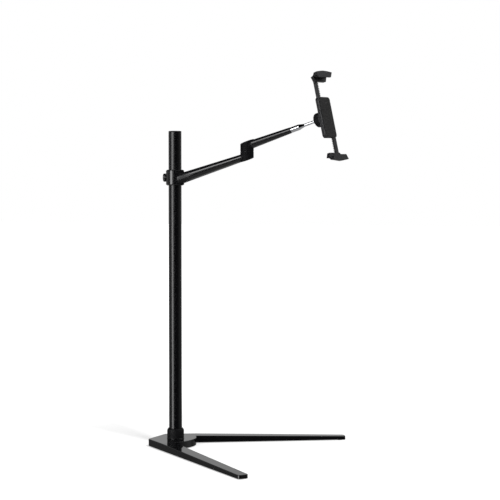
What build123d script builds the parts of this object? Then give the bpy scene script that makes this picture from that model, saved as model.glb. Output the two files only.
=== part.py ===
from build123d import *
from math import acos, atan2, cos, degrees, radians, sin, sqrt, tan
import os

os.makedirs("parts", exist_ok=True)

# Adjustable tablet floor stand, millimetres and degrees.
# Origin: on the floor, on the pole's axis. +Z up. The base's legs open towards +X, alike on both
# sides of the XZ plane. The arms and the holder stand as they are set in the picture.

# Base: a V-shaped casting, its legs tapering in width and in thickness
leg_reach = 487.5
leg_outer_angle = 32.46
leg_inner_angle = 33.84
outer_apex_back = 133.0
inner_apex_back = 55.5
hub_back = 62.0
hub_nose = 54.0
hub_corner = 31.0
hub_top = 21.3
leg_tip_top = 11.7
leg_slope_start = 60.0
foot_proud = 2.0
rear_corner_radius = 9.0
tip_corner_radius = 7.0
web_corner_radius = 3.0
base_edge_radius = 1.2
wall_lean_limit = 1.0

# Feet: rubber pads let into the base's underside
foot_recess = 1.2
foot_radius = 8.0
foot_clearance = 0.15
tip_foot_inset = 16.0
rear_foot_inset = 15.0
hub_foot_radius = 22.0
hub_foot_dish_radius = 12.0
hub_foot_dish_depth = 0.8

# Pole and what holds it to the base
pole_radius = 18.0
pole_wall = 1.6
pole_top = 877.5
cap_flange = 3.0
cap_edge_radius = 2.2
cap_plug_depth = 14.0
cap_plug_wall = 2.0
cap_plug_clearance = 0.05
insert_length = 40.0
insert_thread_depth = 30.0
insert_clearance = 0.02
base_bolt_radius = 6.0
base_bolt_engagement = 25.0
base_bolt_clearance = 0.3
base_bolt_head_radius = 9.0
base_bolt_head_height = 6.5
base_bolt_hex = 10.0
base_bolt_hex_depth = 3.5
base_washer_radius = 14.0
base_washer_thickness = 2.5
bolt_recess_radius = 15.0
bolt_recess_depth = 9.8
collar_height = 28.5
collar_radius = 23.5
collar_top_radius = 20.4
collar_shoulder_drop = 7.5
collar_clearance = 0.15
collar_rim_proud = 0.5
collar_rim_height = 1.6

# Height clamp: ring of the lower arm, split sleeve inside it, screw and knob behind
clamp_height = 748.7
clamp_length = 40.5
clamp_radius = 25.25
clamp_edge_chamfer = 1.2
liner_wall = 2.0
running_clearance = 0.05
liner_lip_thickness = 1.2
liner_lip_proud = 2.2
liner_lip_clearance = 0.15
liner_slot_width = 3.0
clamp_pad_radius = 4.9
clamp_pad_thickness = 2.0
clamp_pad_gap = 0.2
clamp_pad_hole_clearance = 0.1
clamp_pad_travel = 1.25
clamp_screw_radius = 4.0
clamp_screw_clearance = 0.05
clamp_boss_radius = 8.5
clamp_boss_face = 26.0
clamp_knob_gap = 0.4
clamp_knob_radius = 11.5
clamp_knob_thickness = 6.2
clamp_knob_flutes = 12
clamp_flute_radius = 1.3
clamp_knob_edge_radius = 1.2
clamp_screw_grip_share = 0.7

# Arms, drawn in the upright plane through the pole's axis: depth is a section's upright size
arm_azimuth = 15.0
lower_rise_angle = 17.86
lower_root_reach = 10.0
lower_root_drop = 5.2
lower_root_depth = 29.5
lower_root_width = 45.0
lower_end_depth = 18.6
lower_end_width = 36.0
elbow_reach = 205.0
elbow_radius = 18.4
elbow_face_above_arm = 3.8
elbow_disc_thickness = 1.0
elbow_disc_inset = 0.8
boss_step = 0.5
boss_top_angle = 20.5
upper_rise_angle = 18.96
upper_root_above_face = 14.6
upper_root_depth = 23.4
upper_root_width = 35.0
upper_reach = 122.0
upper_tip_depth = 16.6
upper_tip_width = 16.4
root_corner_share = 0.84
end_corner_share = 0.92

# Elbow joint
elbow_bolt_radius = 5.0
elbow_bush_wall = 1.5
elbow_bush_flange_radius = 9.0
elbow_bush_flange_thickness = 1.2
elbow_head_radius = 8.0
elbow_head_height = 5.0
elbow_hex = 6.0
elbow_hex_depth = 3.0
elbow_spring_washer_radius = 8.4
elbow_spring_washer_thickness = 0.9
elbow_recess_radius = 9.4
elbow_recess_below_face = 12.4
elbow_thread_depth = 15.0
fit_clearance = 0.05

# Ball stud: shank in the arm's end, collar, neck and ball
ball_beyond_tip = 83.5
ball_radius = 10.0
stud_neck_radius = 4.0
stud_shank_radius = 5.0
stud_shank_length = 26.0
stud_bore_spare = 1.0
stud_collar_radius = 7.8
stud_collar_length = 24.0
stud_collar_edge = 1.0
stud_cone_length = 16.0
stud_collar_gap = 0.15

# Holder: its facing, and the ball behind the plane that the tablet leans on
holder_azimuth = -14.0
holder_lean_angle = 12.8
holder_roll_angle = 1.9
ball_behind_rest = 30.0

# Holder's layers, counted back from the plane that the tablet leans on
pad_thickness = 1.5
cover_thickness = 2.5
slide_gap = 0.3
slide_thickness = 5.1
shell_floor = 2.5
turret_wall_back = 2.6
swivel_plate_thickness = 1.6
swivel_plate_gap = 0.3

# Holder's outline across and along
holder_half_length = 56.0
slide_outer = 22.5
slide_side_gap = 0.3
shell_wall = 2.6
shell_corner_radius = 8.0
shell_back_edge_radius = 1.6
cover_edge_radius = 0.8
guide_half_width = 7.2
guide_start = 26.0
guide_end = 53.0
cover_screw_radius = 1.5
cover_screw_head_radius = 2.9
cover_screw_head_height = 1.6
cover_screw_inner = 32.0
cover_screw_outer = 47.0
pad_margin = 3.0

# Turret and ball socket
cup_radius = 15.0
cup_turn_clearance = 0.1
cup_flange_radius = 18.5
cup_flange_thickness = 2.8
turret_recess_clearance = 0.3
swivel_plate_radius = 21.5
turret_wall_side = 4.8
turret_edge_radius = 1.5
ball_clearance = 0.05
cup_rim_behind_ball = 3.5
cup_slot_width = 1.4
cup_slot_count = 4
cup_slot_depth_share = 0.55
swivel_screw_radius = 1.0
swivel_screw_circle = 20.15
swivel_screw_count = 3
swivel_screw_length = 4.5
nut_wall = 4.6
nut_length = 17.0
nut_lip_depth = 2.2
nut_lip_inner_radius = 12.8
nut_clearance = 0.1
nut_behind_rim = 0.3
nut_grips = 20
nut_grip_radius = 1.4
nut_edge_radius = 0.9

# Pinion and racks: one module for both
gear_module = 1.5
pinion_teeth = 12
pressure_angle = 20.0
tooth_play = 0.3
tip_clearance_share = 0.25
involute_points = 6
pinion_gap = 0.2
pinion_hub_radius = 4.0
pinion_pin_radius = 2.0
pinion_bore_clearance = 0.05

# Jaws: slide bar with rack, plate and leaf-shaped hook
tablet_half_height = 110.3
jaw_travel_in = 37.0
bar_end_margin = 1.0
jaw_plate_below_edge = 11.8
jaw_plate_front_gap = 0.8
hook_half_width = 33.9
hook_back_half_width = 33.1
hook_wing_depth = 1.3
hook_crown_height = 15.7
hook_crown_depth = 9.6
hook_ridge_height = 13.0
hook_fall_angle = 7.45
hook_rise_angle = 6.6
hook_tip_height = 9.9
hook_neck_half_width = 26.0
hook_neck_below_lip = 1.2
hook_root_half_width = 22.5
hook_lip_lap = 3.6
hook_lip_thickness = 2.6
hook_gap = 12.2
hook_back_height = 1.5
jaw_pad_thickness = 1.4
jaw_pad_half_width = 24.0

# Jaw lock on the holder's back
lock_across = 15.0
lock_down = 41.0
lock_boss_radius = 8.0
lock_boss_depth = 3.4
lock_screw_radius = 2.5
lock_pad_radius = 3.9
lock_pad_thickness = 1.6
lock_pad_travel = 0.8
lock_knob_radius = 10.0
lock_knob_thickness = 9.0
lock_knob_gap = 0.4
lock_knob_flutes = 6
lock_flute_radius = 3.2
lock_knob_edge_radius = 1.4

# Overrun of every cut past the face that it leaves
overrun = 5.0
half_share = 0.5
half_turn_angle = 180.0
hex_sides = 6


def midpoint(a, b):
    """The middle of two numbers."""
    return (a + b) * half_share


def direction(azimuth, rise):
    """Unit vector from an azimuth about Z and a rise above the floor, in degrees."""
    flat = cos(radians(rise))
    return Vector(flat * cos(radians(azimuth)), flat * sin(radians(azimuth)), sin(radians(rise)))


up = Vector(0, 0, 1)
leg_angle = midpoint(leg_outer_angle, leg_inner_angle)
pole_inner_radius = pole_radius - pole_wall

arm_ahead = direction(arm_azimuth, 0)
arm_across = up.cross(arm_ahead)
arm_side = Plane(origin=(0, 0, 0), x_dir=arm_ahead, z_dir=-arm_across)


def in_arm_plane(reach, height):
    """Point of the upright plane through the pole's axis and the arms."""
    return arm_ahead * reach + up * height


def arm_station(reach, height):
    """Upright plane square to the arms, its origin at a height."""
    return Plane(origin=in_arm_plane(reach, height), x_dir=arm_across, z_dir=arm_ahead)


def lower_centre(reach):
    """Height of the lower arm's centre line."""
    return clamp_height - lower_root_drop + (reach - lower_root_reach) * tan(radians(lower_rise_angle))


def lower_bottom(reach):
    """Height of the lower arm's bottom line."""
    way = (reach - lower_root_reach) / (elbow_reach - lower_root_reach)
    return lower_centre(reach) - (lower_root_depth + (lower_end_depth - lower_root_depth) * way) * half_share


elbow_face = lower_centre(elbow_reach) + lower_end_depth * half_share + elbow_face_above_arm
upper_centre = elbow_face + upper_root_above_face
upper_slope = tan(radians(upper_rise_angle))
boss_top = upper_centre + upper_root_depth * half_share + boss_step

# The upper arm's centre line carries on through the stud to the ball's centre
arm_line = direction(arm_azimuth, upper_rise_angle)
tip_point = in_arm_plane(elbow_reach + upper_reach, upper_centre + upper_reach * upper_slope)
ball_centre = tip_point + arm_line * ball_beyond_tip

# The holder's own directions: across to the reader's right, along upwards, facing to the reader
facing = direction(holder_azimuth, holder_lean_angle)
level_across = up.cross(facing).normalized()
level_along = facing.cross(level_across)
across = level_across * cos(radians(holder_roll_angle)) + level_along * sin(radians(holder_roll_angle))
along = facing.cross(across)
rest_centre = ball_centre + facing * ball_behind_rest
rest_plane = Plane(origin=rest_centre, x_dir=across, z_dir=facing)
jaw_side = Plane(origin=rest_centre, x_dir=facing, z_dir=-across)
jaw_plan = Plane(origin=rest_centre, x_dir=facing, z_dir=along)
socket_side = Plane(origin=ball_centre, x_dir=across, z_dir=along)
facing_axis = Axis(origin=ball_centre, direction=facing)

# Depths of the holder's layers on the facing axis, from the rest plane (0) backwards
cover_front = -pad_thickness
cover_back = cover_front - cover_thickness
slide_front = cover_back - slide_gap
slide_back = slide_front - slide_thickness
floor_front = slide_back - slide_gap
floor_back = floor_front - shell_floor
plate_front = floor_front - swivel_plate_gap
plate_back = plate_front - swivel_plate_thickness
flange_front = plate_back - running_clearance
flange_back = flange_front - cup_flange_thickness
recess_back = flange_back - running_clearance
turret_back = recess_back - turret_wall_back
shell_inner = slide_outer + slide_side_gap
shell_outer = shell_inner + shell_wall
shell_width = shell_outer + shell_outer
shell_length = holder_half_length + holder_half_length


def at_depth(depth):
    """Holder plane at a depth, its normal to the reader."""
    return rest_plane.offset(depth)


# Base casting

def outer_edge(reach):
    """Half-width of the base at the legs' outer sides."""
    return (reach + outer_apex_back) * tan(radians(leg_outer_angle))


def inner_edge(reach):
    """Half-width of the gap between the legs."""
    return (reach + inner_apex_back) * tan(radians(leg_inner_angle))


def leg_corner(apex_back, edge_angle):
    """Corner of a leg's square end on the side that starts at the given apex."""
    run = leg_reach + apex_back * cos(radians(leg_angle))
    run = run / cos(radians(edge_angle - leg_angle))
    return run * cos(radians(edge_angle)) - apex_back, run * sin(radians(edge_angle))


outer_tip = leg_corner(outer_apex_back, leg_outer_angle)
inner_tip = leg_corner(inner_apex_back, leg_inner_angle)
tip_foot = (midpoint(outer_tip[0], inner_tip[0]) - tip_foot_inset * cos(radians(leg_angle)),
            midpoint(outer_tip[1], inner_tip[1]) - tip_foot_inset * sin(radians(leg_angle)))
rear_foot = (rear_foot_inset - hub_back, outer_edge(-hub_back) - rear_foot_inset)
foot_places = [(x, side * y) for x, y in (tip_foot, rear_foot) for side in (1, -1)]
bolt_seat = foot_proud + foot_recess + bolt_recess_depth

with BuildPart() as base:
    with BuildSketch(Plane.XY.offset(foot_proud)) as plan:
        with BuildLine():
            rear = (-hub_back, outer_edge(-hub_back))
            web = (hub_corner, inner_edge(hub_corner))
            half = Polyline(rear, outer_tip, inner_tip, web)
            mirror(half, about=Plane.XZ)
            ThreePointArc(web, (hub_nose, 0), (web[0], -web[1]))
            Line(rear, (rear[0], -rear[1]))
        make_face()
        fillet(plan.vertices().sort_by(Axis.X)[-4:], tip_corner_radius)
        fillet(plan.vertices().sort_by(Axis.X)[2:4], web_corner_radius)
        fillet(plan.vertices().sort_by(Axis.X)[:2], rear_corner_radius)
    extrude(amount=hub_top - foot_proud)
    for side in (1, -1):
        leg_way = Vector(cos(radians(leg_angle)), side * sin(radians(leg_angle)), 0)
        beside_leg = Plane(origin=(0, 0, 0), x_dir=leg_way, z_dir=leg_way.cross(up))
        with BuildSketch(beside_leg):
            Polygon(
                (leg_slope_start, hub_top),
                (leg_reach, leg_tip_top),
                (leg_reach + overrun, leg_tip_top),
                (leg_reach + overrun, hub_top + overrun),
                (leg_slope_start, hub_top + overrun),
                align=None,
            )
        extrude(amount=outer_edge(0), both=True, mode=Mode.SUBTRACT)
    side_walls = base.faces().filter_by(lambda wall: abs(wall.normal_at().Z) < sin(radians(wall_lean_limit)))
    top_edges = [e for e in side_walls.edges() if e.bounding_box().min.Z > midpoint(foot_proud, leg_tip_top)]
    fillet(top_edges, base_edge_radius)
    with BuildSketch(Plane.XY.offset(foot_proud)):
        with Locations(*foot_places):
            Circle(foot_radius + foot_clearance)
        Circle(hub_foot_radius + foot_clearance)
    extrude(amount=foot_recess, mode=Mode.SUBTRACT)
    with BuildSketch(Plane.XY.offset(foot_proud)):
        Circle(bolt_recess_radius)
    extrude(amount=bolt_seat - foot_proud, mode=Mode.SUBTRACT)
    with BuildSketch(Plane.XY.offset(foot_proud)):
        Circle(base_bolt_radius + base_bolt_clearance)
    extrude(amount=hub_top, mode=Mode.SUBTRACT)
base.part.label = "base"

with BuildPart() as base_feet:
    with BuildSketch():
        with Locations(*foot_places):
            Circle(foot_radius)
    extrude(amount=foot_proud + foot_recess)
base_feet.part.label = "base_feet"

with BuildPart() as hub_foot:
    with BuildSketch():
        Circle(hub_foot_radius)
    extrude(amount=foot_proud + foot_recess)
    with BuildSketch(Plane.XY.offset(foot_proud + foot_recess)):
        Circle(hub_foot_dish_radius)
    extrude(amount=-hub_foot_dish_depth, mode=Mode.SUBTRACT)
hub_foot.part.label = "hub_foot"

# Pole and its fixing
with BuildPart() as base_washer:
    with BuildSketch(Plane.XY.offset(bolt_seat - base_washer_thickness)):
        Circle(base_washer_radius)
        Circle(base_bolt_radius + base_bolt_clearance, mode=Mode.SUBTRACT)
    extrude(amount=base_washer_thickness)
base_washer.part.label = "base_washer"

base_head_top = bolt_seat - base_washer_thickness
with BuildPart() as base_bolt:
    with BuildSketch(Plane.XY.offset(base_head_top - base_bolt_head_height)):
        Circle(base_bolt_head_radius)
    extrude(amount=base_bolt_head_height)
    with BuildSketch(Plane.XY.offset(base_head_top)):
        Circle(base_bolt_radius)
    extrude(amount=hub_top + base_bolt_engagement - base_head_top)
    with BuildSketch(Plane.XY.offset(base_head_top - base_bolt_head_height)):
        RegularPolygon(base_bolt_hex * half_share, hex_sides, major_radius=False)
    extrude(amount=base_bolt_hex_depth, mode=Mode.SUBTRACT)
base_bolt.part.label = "base_bolt"

with BuildPart() as pole_insert:
    with BuildSketch(Plane.XY.offset(hub_top)):
        Circle(pole_inner_radius - insert_clearance)
        Circle(base_bolt_radius + insert_clearance, mode=Mode.SUBTRACT)
    extrude(amount=insert_thread_depth)
    with BuildSketch(Plane.XY.offset(hub_top + insert_thread_depth)):
        Circle(pole_inner_radius - insert_clearance)
    extrude(amount=insert_length - insert_thread_depth)
pole_insert.part.label = "pole_insert"

with BuildPart() as pole:
    with BuildSketch(Plane.XY.offset(hub_top)):
        Circle(pole_radius)
        Circle(pole_inner_radius, mode=Mode.SUBTRACT)
    extrude(amount=pole_top - cap_flange - hub_top)
pole.part.label = "pole"

with BuildPart() as pole_cap:
    with BuildSketch(Plane.XY.offset(pole_top - cap_flange)):
        Circle(pole_radius)
    extrude(amount=cap_flange)
    fillet(pole_cap.edges().group_by(Axis.Z)[-1], cap_edge_radius)
    with BuildSketch(Plane.XY.offset(pole_top - cap_flange)):
        Circle(pole_inner_radius - cap_plug_clearance)
        Circle(pole_inner_radius - cap_plug_clearance - cap_plug_wall, mode=Mode.SUBTRACT)
    extrude(amount=-cap_plug_depth)
pole_cap.part.label = "pole_cap"

with BuildPart() as foot_collar:
    with BuildSketch(Plane.XZ):
        with BuildLine():
            collar_inner = pole_radius + collar_clearance
            rim = collar_radius + collar_rim_proud
            rim_top = hub_top + collar_rim_height
            collar_top = hub_top + collar_height
            shoulder = collar_top - collar_shoulder_drop
            Polyline((collar_inner, hub_top), (rim, hub_top), (rim, rim_top),
                     (collar_radius, rim_top + collar_rim_proud), (collar_radius, shoulder))
            TangentArc((collar_radius, shoulder), (collar_top_radius, collar_top), tangent=(0, 1))
            Polyline((collar_top_radius, collar_top), (collar_inner, collar_top), (collar_inner, hub_top))
        make_face()
    revolve(axis=Axis.Z)
foot_collar.part.label = "foot_collar"

# Clamp sleeve, split beside the arm
liner_outer_radius = pole_radius + running_clearance + liner_wall
ring_bore_radius = liner_outer_radius + running_clearance
clamp_bottom = clamp_height - clamp_length * half_share
clamp_top = clamp_height + clamp_length * half_share
lip_reach = liner_lip_clearance + liner_lip_thickness

with BuildPart() as clamp_liner:
    with BuildSketch(Plane.XY.offset(clamp_bottom - lip_reach)):
        Circle(liner_outer_radius)
    extrude(amount=clamp_length + lip_reach + lip_reach)
    for level in (clamp_bottom - lip_reach, clamp_top + liner_lip_clearance):
        with BuildSketch(Plane.XY.offset(level)):
            Circle(liner_outer_radius + liner_lip_proud)
        extrude(amount=liner_lip_thickness)
    with BuildSketch(Plane.XY.offset(clamp_bottom - lip_reach)):
        Circle(pole_radius + running_clearance)
    extrude(amount=clamp_length + lip_reach + lip_reach, mode=Mode.SUBTRACT)
    with BuildSketch(Plane(origin=(0, 0, clamp_height), x_dir=arm_ahead, z_dir=arm_across)):
        Rectangle(liner_slot_width, clamp_length + clamp_length)
    extrude(amount=clamp_radius, mode=Mode.SUBTRACT)
clamp_liner.part.label = "clamp_liner"

# Lower arm: clamp ring, rising arm and elbow boss in one casting
clamp_back = Plane(origin=in_arm_plane(0, clamp_height), x_dir=arm_across, z_dir=-arm_ahead)
pad_seat = liner_outer_radius + clamp_pad_gap
pad_hole_end = pad_seat + clamp_pad_thickness + clamp_pad_travel + clamp_pad_hole_clearance
elbow_axis = in_arm_plane(elbow_reach, 0)
before_elbow = elbow_reach - elbow_radius - overrun
past_elbow = elbow_reach + elbow_radius + overrun
elbow_recess_top = elbow_face - elbow_recess_below_face
bush_outer_radius = elbow_bolt_radius + fit_clearance + elbow_bush_wall


def on_elbow(height):
    """Level plane on the elbow's axis."""
    return Plane(origin=elbow_axis + up * height, x_dir=arm_ahead, z_dir=up)


with BuildPart() as lower_arm:
    with BuildSketch(on_elbow(lower_bottom(0))):
        Circle(elbow_radius)
    extrude(amount=elbow_face - elbow_disc_thickness * half_share - lower_bottom(0))
    with BuildSketch(arm_side):
        Polygon(
            (before_elbow, lower_bottom(before_elbow) - boss_step),
            (past_elbow, lower_bottom(past_elbow) - boss_step),
            (past_elbow, lower_bottom(0) - overrun),
            (before_elbow, lower_bottom(0) - overrun),
            align=None,
        )
    extrude(amount=elbow_radius + overrun, both=True, mode=Mode.SUBTRACT)
    with BuildSketch(arm_station(lower_root_reach, lower_centre(lower_root_reach))):
        root_corner = lower_root_depth * half_share * root_corner_share
        RectangleRounded(lower_root_width, lower_root_depth, root_corner)
    with BuildSketch(arm_station(elbow_reach, lower_centre(elbow_reach))):
        RectangleRounded(lower_end_width, lower_end_depth, lower_end_depth * half_share * end_corner_share)
    loft()
    with BuildSketch(Plane.XY.offset(clamp_bottom)):
        Circle(clamp_radius)
    extrude(amount=clamp_length)
    ring_rims = lower_arm.edges().filter_by(GeomType.CIRCLE).filter_by(
        lambda rim: abs(rim.radius - clamp_radius) < fit_clearance and rim.length > pole_radius)
    chamfer(ring_rims, clamp_edge_chamfer)
    with BuildSketch(clamp_back):
        Circle(clamp_boss_radius)
    extrude(amount=clamp_boss_face)
    with BuildSketch(clamp_back):
        Circle(clamp_pad_radius + clamp_pad_hole_clearance)
    extrude(amount=pad_hole_end, mode=Mode.SUBTRACT)
    with BuildSketch(clamp_back):
        Circle(clamp_screw_radius + clamp_screw_clearance)
    extrude(amount=clamp_boss_face + overrun, mode=Mode.SUBTRACT)
    with BuildSketch(Plane.XY.offset(clamp_bottom - overrun)):
        Circle(ring_bore_radius)
    extrude(amount=clamp_length + overrun + overrun, mode=Mode.SUBTRACT)
    with BuildSketch(on_elbow(lower_bottom(0))):
        Circle(elbow_recess_radius)
    extrude(amount=elbow_recess_top - lower_bottom(0), mode=Mode.SUBTRACT)
    with BuildSketch(on_elbow(elbow_recess_top)):
        Circle(bush_outer_radius)
    extrude(amount=elbow_face - elbow_recess_top + overrun, mode=Mode.SUBTRACT)
lower_arm.part.label = "lower_arm"

# Clamp screw, its pad and its knob
with BuildPart() as clamp_pad:
    with BuildSketch(clamp_back.offset(pad_seat)):
        Circle(clamp_pad_radius)
    extrude(amount=clamp_pad_thickness)
clamp_pad.part.label = "clamp_pad"

knob_back = clamp_boss_face + clamp_knob_gap
clamp_screw_end = knob_back + clamp_knob_thickness * clamp_screw_grip_share
with BuildPart() as clamp_screw:
    with BuildSketch(clamp_back.offset(pad_seat + clamp_pad_thickness)):
        Circle(clamp_screw_radius)
    extrude(amount=clamp_screw_end - pad_seat - clamp_pad_thickness)
clamp_screw.part.label = "clamp_screw"

with BuildPart() as clamp_knob:
    with BuildSketch(clamp_back.offset(knob_back)):
        Circle(clamp_knob_radius)
        with PolarLocations(clamp_knob_radius + clamp_flute_radius * half_share, clamp_knob_flutes):
            Circle(clamp_flute_radius, mode=Mode.SUBTRACT)
    extrude(amount=clamp_knob_thickness)
    outer_face = clamp_knob.faces().sort_by(Axis(origin=(0, 0, 0), direction=-arm_ahead))[-1]
    fillet(outer_face.edges(), clamp_knob_edge_radius)
    with BuildSketch(clamp_back.offset(knob_back)):
        Circle(clamp_screw_radius)
    extrude(amount=clamp_screw_end - knob_back, mode=Mode.SUBTRACT)
clamp_knob.part.label = "clamp_knob"

# Elbow: bush, disc, bolt and dished washer
lower_face = elbow_face - elbow_disc_thickness * half_share
upper_face = elbow_face + elbow_disc_thickness * half_share

with BuildPart() as elbow_bush:
    with BuildSketch(on_elbow(elbow_recess_top - elbow_bush_flange_thickness)):
        Circle(elbow_bush_flange_radius)
    extrude(amount=elbow_bush_flange_thickness)
    with BuildSketch(on_elbow(elbow_recess_top)):
        Circle(bush_outer_radius)
    extrude(amount=lower_face - elbow_recess_top)
    with BuildSketch(on_elbow(elbow_recess_top - elbow_bush_flange_thickness)):
        Circle(elbow_bolt_radius + fit_clearance)
    extrude(amount=elbow_face, mode=Mode.SUBTRACT)
elbow_bush.part.label = "elbow_bush"

with BuildPart() as elbow_disc:
    with BuildSketch(on_elbow(lower_face)):
        Circle(elbow_radius - elbow_disc_inset)
        Circle(elbow_bolt_radius + fit_clearance, mode=Mode.SUBTRACT)
    extrude(amount=elbow_disc_thickness)
elbow_disc.part.label = "elbow_disc"

washer_top = elbow_recess_top - elbow_bush_flange_thickness
washer_bottom = washer_top - elbow_spring_washer_thickness
with BuildPart() as elbow_spring_washer:
    with BuildSketch(on_elbow(washer_bottom)):
        Circle(elbow_spring_washer_radius)
        Circle(elbow_bolt_radius + fit_clearance, mode=Mode.SUBTRACT)
    extrude(amount=elbow_spring_washer_thickness)
elbow_spring_washer.part.label = "elbow_spring_washer"

with BuildPart() as elbow_bolt:
    with BuildSketch(on_elbow(washer_bottom - elbow_head_height)):
        Circle(elbow_head_radius)
    extrude(amount=elbow_head_height)
    with BuildSketch(on_elbow(washer_bottom)):
        Circle(elbow_bolt_radius)
    extrude(amount=upper_face + elbow_thread_depth - washer_bottom)
    with BuildSketch(on_elbow(washer_bottom - elbow_head_height)):
        RegularPolygon(elbow_hex * half_share, hex_sides, major_radius=False)
    extrude(amount=elbow_hex_depth, mode=Mode.SUBTRACT)
elbow_bolt.part.label = "elbow_bolt"

# Upper arm: elbow boss and tapering arm in one casting
tip_plane = Plane(origin=tip_point, x_dir=arm_across, z_dir=arm_line)
boss_cut_rise = (elbow_radius + overrun) * tan(radians(boss_top_angle))

with BuildPart() as upper_arm:
    with BuildSketch(on_elbow(upper_face)):
        Circle(elbow_radius)
    extrude(amount=boss_top + boss_cut_rise - upper_face)
    with BuildSketch(arm_side):
        Polygon(
            (before_elbow, boss_top - boss_cut_rise),
            (past_elbow, boss_top + boss_cut_rise),
            (past_elbow, boss_top + boss_cut_rise + overrun),
            (before_elbow, boss_top + boss_cut_rise + overrun),
            align=None,
        )
    extrude(amount=elbow_radius + overrun, both=True, mode=Mode.SUBTRACT)
    with BuildSketch(arm_station(elbow_reach, upper_centre)):
        root_corner = upper_root_depth * half_share * root_corner_share
        RectangleRounded(upper_root_width, upper_root_depth, root_corner)
    with BuildSketch(tip_plane):
        RectangleRounded(upper_tip_width, upper_tip_depth, upper_tip_width * half_share * end_corner_share)
    loft()
    with BuildSketch(on_elbow(upper_face - overrun)):
        Circle(elbow_bolt_radius)
    extrude(amount=overrun + elbow_thread_depth + stud_bore_spare, mode=Mode.SUBTRACT)
    with BuildSketch(tip_plane.offset(overrun)):
        Circle(stud_shank_radius + fit_clearance)
    extrude(amount=-(overrun + stud_shank_length + stud_bore_spare), mode=Mode.SUBTRACT)
upper_arm.part.label = "upper_arm"

# Ball stud: turned and chromed, its shank in the arm's end
stud_side = Plane(origin=tip_point, x_dir=arm_across, z_dir=arm_across.cross(arm_line))
neck_meets_ball = ball_beyond_tip - sqrt(ball_radius**2 - stud_neck_radius**2)
collar_end = stud_collar_gap + stud_collar_length

with BuildPart() as ball_stud:
    with BuildSketch(stud_side):
        with BuildLine():
            Polyline(
                (0, -stud_shank_length),
                (stud_shank_radius, -stud_shank_length),
                (stud_shank_radius, stud_collar_gap),
                (stud_collar_radius - stud_collar_edge, stud_collar_gap),
                (stud_collar_radius, stud_collar_gap + stud_collar_edge),
                (stud_collar_radius, collar_end),
                (stud_neck_radius, collar_end + stud_cone_length),
                (stud_neck_radius, neck_meets_ball),
            )
            ThreePointArc((stud_neck_radius, neck_meets_ball), (ball_radius, ball_beyond_tip),
                          (0, ball_beyond_tip + ball_radius))
            Line((0, ball_beyond_tip + ball_radius), (0, -stud_shank_length))
        make_face()
    revolve(axis=Axis(origin=tip_point, direction=arm_line))
ball_stud.part.label = "ball_stud"

# Ball socket: flange in the holder's back, solid neck, slotted cup round the ball
socket_inner = ball_radius + ball_clearance
rim_inner = sqrt(socket_inner**2 - cup_rim_behind_ball**2)


def behind_ball(depth):
    """A holder depth, counted back from the ball's centre."""
    return -ball_behind_rest - depth


flange_top = behind_ball(flange_front)
flange_low = behind_ball(flange_back)

with BuildPart() as ball_socket:
    with BuildSketch(socket_side):
        with BuildLine():
            Polyline(
                (0, flange_top),
                (cup_flange_radius, flange_top),
                (cup_flange_radius, flange_low),
                (cup_radius, flange_low),
                (cup_radius, cup_rim_behind_ball),
                (rim_inner, cup_rim_behind_ball),
            )
            ThreePointArc((rim_inner, cup_rim_behind_ball), (socket_inner, 0), (0, -socket_inner))
            Line((0, -socket_inner), (0, flange_top))
        make_face()
    revolve(axis=facing_axis)
    slot_depth = (socket_inner + cup_rim_behind_ball) * cup_slot_depth_share + cup_rim_behind_ball
    with BuildSketch(Plane(origin=ball_centre - facing * cup_rim_behind_ball, x_dir=across, z_dir=facing)):
        with PolarLocations(cup_radius, cup_slot_count):
            Rectangle(cup_radius, cup_slot_width)
    extrude(amount=slot_depth, mode=Mode.SUBTRACT)
ball_socket.part.label = "ball_socket"

# Lock nut: gripped ring that closes the cup's fingers on the ball
nut_inner = cup_radius + nut_clearance
nut_outer = nut_inner + nut_wall
nut_back = cup_rim_behind_ball + nut_behind_rim + nut_lip_depth
nut_plane = Plane(origin=ball_centre - facing * nut_back, x_dir=across, z_dir=facing)

with BuildPart() as lock_nut:
    with BuildSketch(nut_plane):
        Circle(nut_outer)
        with PolarLocations(nut_outer + nut_grip_radius * half_share, nut_grips):
            Circle(nut_grip_radius, mode=Mode.SUBTRACT)
    extrude(amount=nut_length)
    rear_face = lock_nut.faces().sort_by(facing_axis)[0]
    fillet(rear_face.edges(), nut_edge_radius)
    with BuildSketch(nut_plane):
        Circle(nut_lip_inner_radius)
    extrude(amount=nut_length, mode=Mode.SUBTRACT)
    with BuildSketch(nut_plane.offset(nut_lip_depth)):
        Circle(nut_inner)
    extrude(amount=nut_length, mode=Mode.SUBTRACT)
lock_nut.part.label = "lock_nut"

# Holder's back shell with turret, slide channels, guides and the lock's boss
turret_recess_radius = cup_flange_radius + turret_recess_clearance
plate_recess_radius = swivel_plate_radius + turret_recess_clearance
turret_radius = turret_recess_radius + turret_wall_side
lock_place = (lock_across, -lock_down)
lock_back = floor_back - lock_boss_depth
screw_spots = [(0, place * side) for place in (cover_screw_inner, cover_screw_outer) for side in (1, -1)]

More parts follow.
